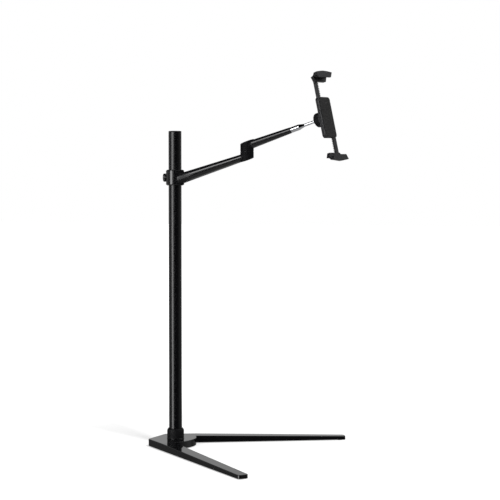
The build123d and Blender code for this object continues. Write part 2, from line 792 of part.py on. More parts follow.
with BuildPart() as holder_back:
    with BuildSketch(at_depth(cover_back)):
        RectangleRounded(shell_width, shell_length, shell_corner_radius)
    extrude(amount=floor_back - cover_back)
    back_rim = holder_back.faces().sort_by(facing_axis)[0]
    fillet(back_rim.edges(), shell_back_edge_radius)
    with BuildSketch(at_depth(floor_front)):
        Rectangle(shell_inner + shell_inner, shell_length + overrun)
        with Locations((0, midpoint(guide_start, guide_end)), (0, -midpoint(guide_start, guide_end))):
            Rectangle(guide_half_width + guide_half_width, guide_end - guide_start, mode=Mode.SUBTRACT)
    extrude(amount=cover_back - floor_front, mode=Mode.SUBTRACT)
    with BuildSketch(at_depth(floor_back)):
        Circle(turret_radius)
    extrude(amount=turret_back - floor_back)
    turret_rim = holder_back.faces().sort_by(facing_axis)[0]
    fillet(turret_rim.edges(), turret_edge_radius)
    with BuildSketch(at_depth(floor_back)):
        with Locations(lock_place):
            Circle(lock_boss_radius)
    extrude(amount=lock_back - floor_back)
    with BuildSketch(at_depth(floor_front)):
        Circle(plate_recess_radius)
    extrude(amount=plate_back - floor_front, mode=Mode.SUBTRACT)
    with BuildSketch(at_depth(plate_back)):
        Circle(turret_recess_radius)
    extrude(amount=recess_back - plate_back, mode=Mode.SUBTRACT)
    with BuildSketch(at_depth(recess_back)):
        Circle(cup_radius + cup_turn_clearance)
    extrude(amount=turret_back - recess_back - overrun, mode=Mode.SUBTRACT)
    with BuildSketch(at_depth(plate_back)):
        with PolarLocations(swivel_screw_circle, swivel_screw_count):
            Circle(swivel_screw_radius)
    extrude(amount=-(swivel_screw_length - swivel_plate_thickness), mode=Mode.SUBTRACT)
    with BuildSketch(at_depth(floor_front)):
        with Locations(lock_place):
            Circle(lock_pad_radius + fit_clearance + fit_clearance)
    extrude(amount=-(lock_pad_thickness + lock_pad_travel + slide_gap), mode=Mode.SUBTRACT)
    with BuildSketch(at_depth(floor_front)):
        with Locations(lock_place):
            Circle(lock_screw_radius + fit_clearance)
    extrude(amount=lock_back - floor_front - overrun, mode=Mode.SUBTRACT)
    with BuildSketch(at_depth(cover_back + overrun)):
        with Locations(*screw_spots):
            Circle(cover_screw_radius + fit_clearance)
    extrude(amount=floor_back - cover_back - overrun - overrun, mode=Mode.SUBTRACT)
    with BuildSketch(at_depth(floor_back + cover_screw_head_height)):
        with Locations(*screw_spots):
            Circle(cover_screw_head_radius + fit_clearance)
    extrude(amount=-(cover_screw_head_height + overrun), mode=Mode.SUBTRACT)
holder_back.part.label = "holder_back"

with BuildPart() as swivel_plate:
    with BuildSketch(at_depth(plate_back)):
        Circle(swivel_plate_radius)
        Circle(pinion_pin_radius, mode=Mode.SUBTRACT)
        with PolarLocations(swivel_screw_circle, swivel_screw_count):
            Circle(swivel_screw_radius, mode=Mode.SUBTRACT)
    extrude(amount=swivel_plate_thickness)
swivel_plate.part.label = "swivel_plate"

with BuildPart() as swivel_screws:
    with BuildSketch(at_depth(plate_front - swivel_screw_length)):
        with PolarLocations(swivel_screw_circle, swivel_screw_count):
            Circle(swivel_screw_radius)
    extrude(amount=swivel_screw_length)
swivel_screws.part.label = "swivel_screws"

# Pinion between the racks, on its pin
pitch_radius = gear_module * pinion_teeth * half_share
tip_radius = pitch_radius + gear_module
root_radius = pitch_radius - gear_module * (1 + tip_clearance_share)
base_circle = pitch_radius * cos(radians(pressure_angle))
tooth_half_pitch = radians(half_turn_angle / pinion_teeth)
inv_pitch = tan(radians(pressure_angle)) - radians(pressure_angle)
half_tooth = tooth_half_pitch * half_share + inv_pitch - tooth_play * half_share / pitch_radius


def flank(radius, side):
    """Angle of a tooth's side at a radius, from the tooth's middle, on the involute."""
    roll_angle = acos(min(1.0, base_circle / radius))
    return side * (half_tooth - (tan(roll_angle) - roll_angle))


def tooth_points(middle):
    """Outline points of one tooth, from root to root, anticlockwise."""
    lowest = max(root_radius, base_circle)
    radii = [lowest + (tip_radius - lowest) * k / (involute_points - 1) for k in range(involute_points)]
    rising = [(root_radius, -half_tooth)] + [(r, flank(r, -1)) for r in radii]
    falling = [(r, flank(r, 1)) for r in reversed(radii)] + [(root_radius, half_tooth)]
    return [(r * cos(middle + a), r * sin(middle + a)) for r, a in rising + falling]


with BuildPart() as jaw_pinion:
    with BuildSketch(at_depth(slide_back + pinion_gap)):
        gear_outline = []
        for tooth in range(pinion_teeth):
            gear_outline += tooth_points((tooth + tooth + 1) * tooth_half_pitch)
        Polygon(*gear_outline, align=None)
    extrude(amount=slide_thickness - pinion_gap - pinion_gap)
    with BuildSketch(at_depth(plate_front + running_clearance)):
        Circle(pinion_hub_radius)
    extrude(amount=cover_back - plate_front - running_clearance - running_clearance)
    with BuildSketch(at_depth(plate_front)):
        Circle(pinion_pin_radius + pinion_bore_clearance)
    extrude(amount=cover_back - plate_front, mode=Mode.SUBTRACT)
jaw_pinion.part.label = "jaw_pinion"

with BuildPart() as pinion_pin:
    with BuildSketch(at_depth(plate_back)):
        Circle(pinion_pin_radius)
    extrude(amount=cover_front - plate_back - cover_thickness * half_share)
pinion_pin.part.label = "pinion_pin"

# Jaws: drawn for the upper one; the lower one is the same moulding turned half a turn
rack_pitch = gear_module * tooth_half_pitch * pinion_teeth
rack_tip = pitch_radius - gear_module
rack_root = pitch_radius + gear_module * (1 + tip_clearance_share)
rack_lean = tan(radians(pressure_angle))
bar_end_below_pinion = holder_half_length - jaw_travel_in - bar_end_margin
bar_end = -bar_end_below_pinion
jaw_plate_start = tablet_half_height - jaw_plate_below_edge
hook_inner = tablet_half_height + jaw_pad_thickness
hook_crown = tablet_half_height + hook_crown_height
hook_tip = tablet_half_height + hook_tip_height
hook_ridge = tablet_half_height + hook_ridge_height
lip_low = tablet_half_height - hook_lip_lap
lip_inner = hook_gap + jaw_pad_thickness
lip_front = lip_inner + hook_lip_thickness
plate_front_depth = -jaw_plate_front_gap


def rack_outline(side):
    """Outline of a slide bar with its rack, on the side given by -1 (left) or 1 (right)."""
    outline = [(side * rack_root, jaw_plate_start), (side * slide_outer, jaw_plate_start),
               (side * slide_outer, bar_end), (side * rack_root, bar_end)]
    thin = (rack_pitch * half_share - tooth_play) * half_share
    tip_half = thin - gear_module * rack_lean
    root_half = thin + gear_module * (1 + tip_clearance_share) * rack_lean
    first = -int((bar_end_below_pinion - root_half) / rack_pitch)
    last = int((jaw_plate_start - root_half) / rack_pitch)
    for number in range(first, last + 1):
        middle = number * rack_pitch
        outline += [(side * rack_root, middle - root_half), (side * rack_tip, middle - tip_half),
                    (side * rack_tip, middle + tip_half), (side * rack_root, middle + root_half)]
    return outline


def build_jaw(side, turn):
    """One jaw: side says where its rack lies, turn is 1 for the upper and -1 for the lower jaw."""
    back_low = (slide_back, turn * (tablet_half_height + hook_back_height))
    crown = (hook_crown_depth, turn * hook_crown)
    lip_end = (lip_front, turn * lip_low)
    with BuildPart() as jaw:
        with BuildSketch(jaw_side):
            with BuildLine():
                Line((slide_back, turn * jaw_plate_start), back_low)
                TangentArc(crown, back_low, tangent=(1, 0), tangent_from_first=False)
                over = TangentArc(crown, (lip_front, turn * hook_inner), tangent=(1, 0))
                Polyline(over @ 1, lip_end, (lip_inner, turn * lip_low), (lip_inner, turn * hook_inner),
                         (plate_front_depth, turn * hook_inner), (plate_front_depth, turn * jaw_plate_start),
                         (slide_back, turn * jaw_plate_start))
            make_face()
        extrude(amount=hook_half_width, both=True)
        with BuildSketch(rest_plane):
            with BuildLine():
                tip = (hook_half_width, turn * hook_tip)
                neck = (hook_neck_half_width, turn * (lip_low - hook_neck_below_lip))
                root = (hook_root_half_width, turn * jaw_plate_start)
                crown_line = ThreePointArc((-tip[0], tip[1]), (0, turn * hook_crown), tip)
                Polyline(crown_line @ 1, neck, root,
                         (-root[0], root[1]), (-neck[0], neck[1]), crown_line @ 0)
            make_face()
        extrude(amount=hook_half_width, both=True, mode=Mode.INTERSECT)
        with BuildSketch(jaw_plan):
            Polygon(
                (slide_back, hook_back_half_width),
                (hook_wing_depth, hook_half_width),
                (lip_front, hook_half_width),
                (lip_front, -hook_half_width),
                (hook_wing_depth, -hook_half_width),
                (slide_back, -hook_back_half_width),
                align=None,
            )
        extrude(amount=turn * hook_crown, mode=Mode.INTERSECT)
        for wing in (-1, 1):
            fall = across * wing * tan(radians(hook_fall_angle))
            rise = facing * tan(radians(hook_rise_angle))
            ridge = rest_centre + along * turn * hook_ridge
            with BuildSketch(Plane(origin=ridge, z_dir=along * turn + fall - rise)):
                Circle(hook_crown)
            extrude(amount=hook_crown, mode=Mode.SUBTRACT)
        with BuildSketch(at_depth(slide_back)):
            points = rack_outline(side)
            Polygon(*[(x, turn * y) for x, y in points], align=None)
        extrude(amount=slide_thickness)
    return jaw


upper_jaw = build_jaw(-1, 1)
upper_jaw.part.label = "upper_jaw"
lower_jaw = build_jaw(1, -1)
lower_jaw.part.label = "lower_jaw"


def build_jaw_pad(turn):
    """Rubber lining of a hook: over the tablet's edge and down inside the lip."""
    with BuildPart() as lining:
        with BuildSketch(jaw_side.offset(-jaw_pad_half_width)):
            Polygon(
                (plate_front_depth, turn * tablet_half_height),
                (lip_inner - jaw_pad_thickness, turn * tablet_half_height),
                (lip_inner - jaw_pad_thickness, turn * lip_low),
                (lip_inner, turn * lip_low),
                (lip_inner, turn * hook_inner),
                (plate_front_depth, turn * hook_inner),
                align=None,
            )
        extrude(amount=jaw_pad_half_width + jaw_pad_half_width)
    return lining


upper_jaw_pad = build_jaw_pad(1)
upper_jaw_pad.part.label = "upper_jaw_pad"
lower_jaw_pad = build_jaw_pad(-1)
lower_jaw_pad.part.label = "lower_jaw_pad"

# Front cover, its screws and the soft sheet on it
with BuildPart() as holder_front:
    with BuildSketch(at_depth(cover_back)):
        RectangleRounded(shell_width, shell_length, shell_corner_radius)
    extrude(amount=cover_thickness)
    fillet(holder_front.faces().sort_by(facing_axis)[-1].edges(), cover_edge_radius)
    with BuildSketch(at_depth(cover_back)):
        with Locations(*screw_spots):
            Circle(cover_screw_radius)
        Circle(pinion_pin_radius)
    extrude(amount=cover_thickness * half_share, mode=Mode.SUBTRACT)
holder_front.part.label = "holder_front"

with BuildPart() as cover_screws:
    with BuildSketch(at_depth(floor_back)):
        with Locations(*screw_spots):
            Circle(cover_screw_head_radius)
    extrude(amount=cover_screw_head_height)
    with BuildSketch(at_depth(floor_back + cover_screw_head_height)):
        with Locations(*screw_spots):
            Circle(cover_screw_radius)
    extrude(amount=cover_back + cover_thickness * half_share - floor_back - cover_screw_head_height)
cover_screws.part.label = "cover_screws"

with BuildPart() as holder_pad:
    with BuildSketch(at_depth(cover_front)):
        RectangleRounded(shell_outer + shell_outer - pad_margin - pad_margin,
                         shell_length - pad_margin - pad_margin,
                         shell_corner_radius - pad_margin)
    extrude(amount=pad_thickness)
holder_pad.part.label = "holder_pad"

# Jaw lock: pad against the lower jaw's bar, screw and knob
lock_pad_front = slide_back - slide_gap * half_share
lock_pad_back = lock_pad_front - lock_pad_thickness
lock_knob_front = lock_back - lock_knob_gap
lock_screw_back = lock_knob_front - lock_knob_thickness * clamp_screw_grip_share

with BuildPart() as jaw_lock_pad:
    with BuildSketch(at_depth(lock_pad_front)):
        with Locations(lock_place):
            Circle(lock_pad_radius)
    extrude(amount=-lock_pad_thickness)
jaw_lock_pad.part.label = "jaw_lock_pad"

with BuildPart() as jaw_lock_screw:
    with BuildSketch(at_depth(lock_pad_back)):
        with Locations(lock_place):
            Circle(lock_screw_radius)
    extrude(amount=lock_screw_back - lock_pad_back)
jaw_lock_screw.part.label = "jaw_lock_screw"

with BuildPart() as jaw_lock_knob:
    with BuildSketch(at_depth(lock_knob_front)):
        with Locations(lock_place):
            Circle(lock_knob_radius)
        with Locations(lock_place):
            with PolarLocations(lock_knob_radius + lock_flute_radius * half_share, lock_knob_flutes):
                Circle(lock_flute_radius, mode=Mode.SUBTRACT)
    extrude(amount=-lock_knob_thickness)
    fillet(jaw_lock_knob.faces().sort_by(facing_axis)[0].edges(), lock_knob_edge_radius)
    with BuildSketch(at_depth(lock_knob_front)):
        with Locations(lock_place):
            Circle(lock_screw_radius)
    extrude(amount=lock_screw_back - lock_knob_front, mode=Mode.SUBTRACT)
jaw_lock_knob.part.label = "jaw_lock_knob"

export_step(base.part, "parts/base.step")
export_step(base_feet.part, "parts/base_feet.step")
export_step(hub_foot.part, "parts/hub_foot.step")
export_step(base_bolt.part, "parts/base_bolt.step")
export_step(base_washer.part, "parts/base_washer.step")
export_step(pole_insert.part, "parts/pole_insert.step")
export_step(pole.part, "parts/pole.step")
export_step(pole_cap.part, "parts/pole_cap.step")
export_step(foot_collar.part, "parts/foot_collar.step")
export_step(clamp_liner.part, "parts/clamp_liner.step")
export_step(lower_arm.part, "parts/lower_arm.step")
export_step(clamp_pad.part, "parts/clamp_pad.step")
export_step(clamp_screw.part, "parts/clamp_screw.step")
export_step(clamp_knob.part, "parts/clamp_knob.step")
export_step(elbow_bush.part, "parts/elbow_bush.step")
export_step(elbow_disc.part, "parts/elbow_disc.step")
export_step(elbow_spring_washer.part, "parts/elbow_spring_washer.step")
export_step(elbow_bolt.part, "parts/elbow_bolt.step")
export_step(upper_arm.part, "parts/upper_arm.step")
export_step(ball_stud.part, "parts/ball_stud.step")
export_step(ball_socket.part, "parts/ball_socket.step")
export_step(lock_nut.part, "parts/lock_nut.step")
export_step(holder_back.part, "parts/holder_back.step")
export_step(swivel_plate.part, "parts/swivel_plate.step")
export_step(swivel_screws.part, "parts/swivel_screws.step")
export_step(jaw_pinion.part, "parts/jaw_pinion.step")
export_step(pinion_pin.part, "parts/pinion_pin.step")
export_step(upper_jaw.part, "parts/upper_jaw.step")
export_step(lower_jaw.part, "parts/lower_jaw.step")
export_step(upper_jaw_pad.part, "parts/upper_jaw_pad.step")
export_step(lower_jaw_pad.part, "parts/lower_jaw_pad.step")
export_step(holder_front.part, "parts/holder_front.step")
export_step(cover_screws.part, "parts/cover_screws.step")
export_step(holder_pad.part, "parts/holder_pad.step")
export_step(jaw_lock_pad.part, "parts/jaw_lock_pad.step")
export_step(jaw_lock_screw.part, "parts/jaw_lock_screw.step")
export_step(jaw_lock_knob.part, "parts/jaw_lock_knob.step")
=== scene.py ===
"""Looks of the adjustable tablet floor stand: finishes, small moulded detail, studio and camera.

Every object is in metres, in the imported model's own frame. The stand's solids come from the
frame and keep their shape; each sub-assembly below is a class that holds its sizes, builds
what the solids leave out and dresses every piece in its finish.
"""

import logging
import math
from dataclasses import dataclass, field, replace
from enum import Enum
from typing import Any, ClassVar, Optional, Sequence, Union

import bpy
from mathutils import Matrix, Vector

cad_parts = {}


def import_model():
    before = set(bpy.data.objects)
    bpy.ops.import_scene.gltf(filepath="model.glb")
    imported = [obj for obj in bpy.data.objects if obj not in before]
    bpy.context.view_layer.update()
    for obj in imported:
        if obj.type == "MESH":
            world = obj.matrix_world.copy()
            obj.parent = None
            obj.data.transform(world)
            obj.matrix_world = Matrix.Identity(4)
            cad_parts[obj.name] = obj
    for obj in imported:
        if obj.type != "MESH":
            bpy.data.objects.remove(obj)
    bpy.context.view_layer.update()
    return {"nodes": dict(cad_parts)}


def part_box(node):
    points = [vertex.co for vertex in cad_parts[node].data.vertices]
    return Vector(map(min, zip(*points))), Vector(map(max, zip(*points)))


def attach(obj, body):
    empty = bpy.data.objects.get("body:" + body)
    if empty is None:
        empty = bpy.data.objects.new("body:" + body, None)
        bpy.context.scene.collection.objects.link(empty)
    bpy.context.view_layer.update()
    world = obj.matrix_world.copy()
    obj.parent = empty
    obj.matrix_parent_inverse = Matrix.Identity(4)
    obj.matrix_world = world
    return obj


log = logging.getLogger("tablet_stand")

MM = 0.001


def linear(hex_colour: str) -> tuple[float, float, float, float]:
    """Turn an sRGB hex colour into linear light; the numbers are the sRGB curve's own.

    Args:
        hex_colour: six hex digits, such as "1c1c1e".

    Returns:
        Red, green, blue and an alpha of one.
    """
    channels = []
    for start in (0, 2, 4):
        value = int(hex_colour[start:start + 2], 16) / 255
        channels.append(value / 12.92 if value <= 0.04045 else ((value + 0.055) / 1.055) ** 2.4)
    return (channels[0], channels[1], channels[2], 1.0)


def add_node(tree: bpy.types.NodeTree, kind: str, settings: Optional[dict[str, Any]] = None,
             links: Optional[dict[Any, bpy.types.NodeSocket]] = None) -> bpy.types.Node:
    """Add a node with its settings and its links.

    Args:
        tree: the node tree that gets it.
        kind: the node's type name.
        settings: attributes of the node, or names or numbers of inputs, and their values.
        links: names or numbers of inputs, and the outputs that feed them.

    Returns:
        The new node.
    """
    node = tree.nodes.new(kind)
    for name, value in (settings or {}).items():
        if isinstance(name, str) and hasattr(node, name):
            setattr(node, name, value)
        else:
            node.inputs[name].default_value = value
    for name, output in (links or {}).items():
        tree.links.new(output, node.inputs[name])
    return node


def bearing(azimuth: float, rise: float) -> Vector:
    """Turn an azimuth and a rise into a direction.

    Args:
        azimuth: degrees about Z.
        rise: degrees above level.

    Returns:
        The unit vector.
    """
    flat = math.cos(math.radians(rise))
    return Vector((flat * math.cos(math.radians(azimuth)), flat * math.sin(math.radians(azimuth)),
                   math.sin(math.radians(rise))))


# Finishes


class Axis(Enum):
    """Azimuth and rise in degrees, up the pole or out along either arm."""

    UPRIGHT = (0.0, 90.0)
    LOWER_ARM = (15.0, 17.86)
    UPPER_ARM = (15.0, 18.96)


@dataclass(frozen=True)
class Finish:
    """One finish: what the real surface is, and how it is made.

    Attributes:
        name: the common name of the material and its making.
        colour: sRGB hex of the plain surface.
        pale: sRGB hex that it drifts to over some tens of millimetres.
        worn: sRGB hex of rubbed edges.
        roughness: how much the surface spreads a reflection.
        grain: size in millimetres of the texture's grain; the pits of a mould and the rings of
            a lathe are finer than this, and are drawn as coarse as they need to be to show.
        grain_depth: height in millimetres of the texture.
        edge: radius in millimetres of the softened edges.
        spread: how far the roughness drifts either way.
        ior: index of refraction of the surface.
        metallic: one for bare metal.
        wear: how strongly edges show rubbing.
        DRIFT: size in millimetres of the slow change from the plain colour to the pale one.
        SCUFF: size in millimetres of the patches in the gloss and in the rubbing.
        SCUFF_RANGE: values of the scuffs' noise between which the gloss changes.
        RUBBED: cosines of the bend at an edge where rubbing begins and where it is full.
    """

    DRIFT: ClassVar[float] = 40.0
    SCUFF: ClassVar[float] = 6.0
    SCUFF_RANGE: ClassVar[tuple[float, float]] = (0.3, 0.7)
    RUBBED: ClassVar[tuple[float, float]] = (0.93, 0.72)

    name: str
    colour: str
    pale: str
    worn: str
    roughness: float
    grain: float
    grain_depth: float
    edge: float
    spread: float = 0.04
    ior: float = 1.5
    metallic: float = 0.0
    wear: float = 0.3

    def shader(self, tree: bpy.types.NodeTree) -> bpy.types.Node:
        """Build the finish's nodes.

        Args:
            tree: the material's empty tree.

        Returns:
            The surface shader's node.
        """
        place = add_node(tree, "ShaderNodeTexCoord").outputs["Object"]
        drift = add_node(tree, "ShaderNodeTexNoise",
                         {"Scale": 1 / (self.DRIFT * MM), "Detail": 4.0, "Roughness": 0.55},
                         {"Vector": place})
        tone = add_node(tree, "ShaderNodeMix", {"data_type": "RGBA", 6: linear(self.colour),
                                                7: linear(self.pale)}, {0: drift.outputs["Fac"]})
        soft = add_node(tree, "ShaderNodeBevel", {"samples": 6, "Radius": self.edge * MM})
        flat = add_node(tree, "ShaderNodeNewGeometry").outputs["Normal"]
        match = add_node(tree, "ShaderNodeVectorMath", {"operation": "DOT_PRODUCT"},
                         {0: soft.outputs["Normal"], 1: flat})
        begins, full = self.RUBBED
        rubbed = add_node(tree, "ShaderNodeMapRange",
                          {"From Min": begins, "From Max": full, "To Min": 0.0, "To Max": self.wear},
                          {"Value": match.outputs["Value"]})
        scuffs = add_node(tree, "ShaderNodeTexNoise",
                          {"Scale": 1 / (self.SCUFF * MM), "Detail": 6.0, "Roughness": 0.7},
                          {"Vector": place})
        patchy = add_node(tree, "ShaderNodeMath", {"operation": "MULTIPLY"},
                          {0: rubbed.outputs["Result"], 1: scuffs.outputs["Fac"]})
        colour = add_node(tree, "ShaderNodeMix", {"data_type": "RGBA", 7: linear(self.worn)},
                          {0: patchy.outputs["Value"], 6: tone.outputs[2]})
        least, most = self.SCUFF_RANGE
        gloss = add_node(tree, "ShaderNodeMapRange",
                         {"From Min": least, "From Max": most, "To Min": self.roughness - self.spread,
                          "To Max": self.roughness + self.spread}, {"Value": scuffs.outputs["Fac"]})
        relief = self.relief(tree, place)
        bump = add_node(tree, "ShaderNodeBump", {"Strength": 1.0, "Distance": self.grain_depth * MM},
                        {"Height": relief, "Normal": soft.outputs["Normal"]})
        return add_node(tree, "ShaderNodeBsdfPrincipled", {"Metallic": self.metallic, "IOR": self.ior},
                        {"Base Color": colour.outputs[2], "Roughness": gloss.outputs["Result"],
                         "Normal": bump.outputs["Normal"]})

    def relief(self, tree: bpy.types.NodeTree, place: bpy.types.NodeSocket) -> bpy.types.NodeSocket:
        """Height of the surface's grain; a plain finish has an even fine grain.

        Args:
            tree: the material's tree.
            place: the point on the surface.

        Returns:
            The height, about zero to one.
        """
        return add_node(tree, "ShaderNodeTexNoise",
                        {"Scale": 1 / (self.grain * MM), "Detail": 3.0, "Roughness": 0.6},
                        {"Vector": place}).outputs["Fac"]

    def material(self) -> bpy.types.Material:
        """Make the material, or find the one made before.

        Returns:
            The material.
        """
        known = bpy.data.materials.get(self.name)
        if known is not None and known.get("finish_made"):
            return known
        made = bpy.data.materials.new(self.name)
        made["finish_made"] = True
        made.use_nodes = True
        made.node_tree.nodes.clear()
        surface = self.shader(made.node_tree)
        add_node(made.node_tree, "ShaderNodeOutputMaterial", None, {"Surface": surface.outputs["BSDF"]})
        return made


@dataclass(frozen=True)
class SprayedEnamel(Finish):
    """Sprayed enamel or powder flows out into slow waves, like the skin of an orange.

    Attributes:
        DUST: spacing in millimetres of the dust under the film.
        SPECK: radius of a speck of it, as a share of that spacing.
        SPECK_HEIGHT: height of a speck, as a share of the waves'.
    """

    DUST: ClassVar[float] = 16.0
    SPECK: ClassVar[float] = 0.03
    SPECK_HEIGHT: ClassVar[float] = 0.4

    def relief(self, tree: bpy.types.NodeTree, place: bpy.types.NodeSocket) -> bpy.types.NodeSocket:
        """Height of the flow waves, with a little dust under the film.

        Args:
            tree: the material's tree.
            place: the point on the surface.

        Returns:
            The height, about zero to one.
        """
        waves = add_node(tree, "ShaderNodeTexNoise",
                         {"Scale": 1 / (self.grain * MM), "Detail": 1.0, "Roughness": 0.4},
                         {"Vector": place})
        dust = add_node(tree, "ShaderNodeTexVoronoi", {"Scale": 1 / (self.DUST * MM)}, {"Vector": place})
        speck = add_node(tree, "ShaderNodeMapRange",
                         {"From Min": 0.0, "From Max": self.SPECK, "To Min": self.SPECK_HEIGHT,
                          "To Max": 0.0}, {"Value": dust.outputs["Distance"]})
        return add_node(tree, "ShaderNodeMath", {"operation": "ADD"},
                        {0: waves.outputs["Fac"], 1: speck.outputs["Result"]}).outputs["Value"]


@dataclass(frozen=True)
class DullZone:
    """An upright round zone in which a coat is dull.

    Attributes:
        centre: the zone's axis, x and y in metres.
        dull: how far from its axis it is fully dull, in metres.
        fades: how far from its axis it is glossy again, in metres.
    """

    centre: tuple[float, float]
    dull: float
    fades: float


@dataclass(frozen=True)
class CastingCoat(SprayedEnamel):
    """The coat of the castings, with dull zones.

    Attributes:
        zones: where the coat is dull.
        dull_roughness: roughness there.
        dull_sheen: specular level there; a flatted coat's pores swallow the highlight, and in a zone that
            stands for shade the low level is painted shade.
        SHEEN: specular level of the plain coat, the shader's own.
    """

    SHEEN: ClassVar[float] = 0.5
    zones: tuple[DullZone, ...] = ()
    dull_roughness: float = 0.62
    dull_sheen: float = 0.06

    def shader(self, tree: bpy.types.NodeTree) -> bpy.types.Node:
        """Build the coat, then dull it inside its zones.

        Args:
            tree: the material's empty tree.

        Returns:
            The surface shader's node.
        """
        surface = super().shader(tree)
        place = add_node(tree, "ShaderNodeTexCoord").outputs["Object"]
        level = add_node(tree, "ShaderNodeVectorMath", {"operation": "MULTIPLY", 1: (1.0, 1.0, 0.0)},
                         {0: place})
        share = None
        for zone in self.zones:
            reach = add_node(tree, "ShaderNodeVectorMath",
                             {"operation": "DISTANCE", 1: (*zone.centre, 0.0)},
                             {0: level.outputs["Vector"]})
            inside = add_node(tree, "ShaderNodeMapRange",
                              {"interpolation_type": "SMOOTHSTEP", "From Min": zone.dull,
                               "From Max": zone.fades, "To Min": 1.0, "To Max": 0.0},
                              {"Value": reach.outputs["Value"]}).outputs["Result"]
            share = inside if share is None else add_node(tree, "ShaderNodeMath", {"operation": "MAXIMUM"},
                                                          {0: share, 1: inside}).outputs["Value"]
        gloss = surface.inputs["Roughness"].links[0].from_socket
        dulled = add_node(tree, "ShaderNodeMix", {3: self.dull_roughness}, {0: share, 2: gloss})
        sheen = add_node(tree, "ShaderNodeMix", {2: self.SHEEN, 3: self.dull_sheen}, {0: share})
        tree.links.new(dulled.outputs[0], surface.inputs["Roughness"])
        tree.links.new(sheen.outputs[0], surface.inputs["Specular IOR Level"])
        return surface


@dataclass(frozen=True)
class SparkTexture(Finish):
    """A mould textured by spark erosion leaves small round pits in the plastic."""

    def relief(self, tree: bpy.types.NodeTree, place: bpy.types.NodeSocket) -> bpy.types.NodeSocket:
        """Height of the pits.

        Args:
            tree: the material's tree.
            place: the point on the surface.

        Returns:
            The height, about zero to one.
        """
        return add_node(tree, "ShaderNodeTexVoronoi", {"Scale": 1 / (self.grain * MM), "Randomness": 1.0},
                        {"Vector": place}).outputs["Distance"]


@dataclass(frozen=True)
class TurnedMetal(Finish):
    """Metal off a lathe keeps fine rings across its axis.

    Attributes:
        turned_about: the axis that the piece was turned about.
        ACROSS: the rings' change across that axis, per metre; little, so they stay even.
    """

    ACROSS: ClassVar[float] = 4.0
    turned_about: Axis = Axis.UPRIGHT

    def relief(self, tree: bpy.types.NodeTree, place: bpy.types.NodeSocket) -> bpy.types.NodeSocket:
        """Height of the turning rings.

        Args:
            tree: the material's tree.
            place: the point on the surface.

        Returns:
            The height, about zero to one.
        """
        azimuth, rise = (math.radians(angle) for angle in self.turned_about.value)
        turn = add_node(tree, "ShaderNodeVectorRotate",
                        {"rotation_type": "EULER_XYZ", "Rotation": (0.0, 0.0, -azimuth)},
                        {"Vector": place})
        lean = add_node(tree, "ShaderNodeVectorRotate",
                        {"rotation_type": "EULER_XYZ", "Rotation": (0.0, rise, 0.0)},
                        {"Vector": turn.outputs["Vector"]})
        rings = add_node(tree, "ShaderNodeMapping",
                         {"Scale": (1 / (self.grain * MM), self.ACROSS, self.ACROSS)},
                         {"Vector": lean.outputs["Vector"]})
        return add_node(tree, "ShaderNodeTexNoise", {"Scale": 1.0, "Detail": 2.0},
                        {"Vector": rings.outputs["Vector"]}).outputs["Fac"]


# Gloss black stoving enamel on the cast base: nearly a mirror at a low angle, black from above
BASE_ENAMEL = SprayedEnamel("gloss_black_enamel_on_cast_iron", "070708", "0b0b0c", "29292b", 0.05,
                            spread=0.01, ior=1.5, grain=5.0, grain_depth=0.006, edge=1.2, wear=0.15)
# Smooth satin powder coat on the drawn tube: one long soft highlight
POLE_COAT = SprayedEnamel("satin_black_powder_coat_on_steel_tube", "040405", "070708", "2c2c2e", 0.25,
                          spread=0.008, ior=1.39, grain=2.2, grain_depth=0.004, edge=0.5, wear=0.2)
# Gloss coat over the die castings: a narrow streak, a little wavier than the tube's
ARM_COAT = CastingCoat("gloss_black_powder_coat_on_die_casting", "070708", "0c0c0d", "2e2e30", 0.13,
                       spread=0.01, grain=1.8, grain_depth=0.006, edge=0.8, wear=0.25)
# Matt moulded ABS: fine spark texture that spreads the highlight wide
MATT_MOULDING = SparkTexture("matt_black_moulded_abs", "0a0a0b", "101011", "28282a", 0.54, spread=0.05,
                             ior=1.2, grain=0.5, grain_depth=0.012, edge=0.5, wear=0.25)
# Polished moulded ABS of the clamp's knob and the collar's bead: a small clear highlight
KNOB_MOULDING = SparkTexture("polished_black_moulded_abs", "09090a", "0e0e0f", "28282a", 0.20, spread=0.04,
                             grain=0.8, grain_depth=0.004, edge=0.6, wear=0.25)
# Charcoal glass-filled nylon of the holder: near black, with a broad pale sheen at a low angle
HOLDER_NYLON = SparkTexture("charcoal_glass_filled_nylon", "0f0f11", "151517", "37373a", 0.30, spread=0.05,
                            ior=1.53, grain=0.6, grain_depth=0.014, edge=0.7, wear=0.35)
# Machined black acetal of the sleeve, bush, friction disc, cup, pinion and lock pad: waxy and dull
BLACK_ACETAL = Finish("black_machined_acetal", "0c0c0d", "121213", "28282a", 0.55, ior=1.4, grain=0.4,
                      grain_depth=0.006, edge=0.3)
# Rubber of the feet and linings: dry and dead matt
RUBBER = Finish("matt_black_nitrile_rubber", "131313", "1b1b1b", "2a2a2a", 0.78, spread=0.08, ior=1.52,
                grain=0.3, grain_depth=0.02, edge=0.3, wear=0.2)
# Bright chrome plate on the turned ball stud
CHROME = TurnedMetal("bright_chrome_plate", "c8c9cc", "d2d3d6", "d8d8da", 0.10, spread=0.03, metallic=1.0,
                     grain=0.5, grain_depth=0.001, edge=0.3, wear=0.0, turned_about=Axis.UPPER_ARM)
# Clear zinc plate on the steel hardware: dull silver with turning marks
ZINC = TurnedMetal("zinc_plated_steel", "a9abae", "b6b7b8", "c4c4c4", 0.32, spread=0.06, metallic=1.0,
                   grain=0.4, grain_depth=0.004, edge=0.2, wear=0.2)
# Black oxide on the high-tensile screws: dark, faintly oily
BLACK_OXIDE = TurnedMetal("black_oxide_steel", "2a2a2c", "343437", "5a5a5c", 0.36, spread=0.06,
                          metallic=1.0, grain=0.4, grain_depth=0.004, edge=0.2, wear=0.3)


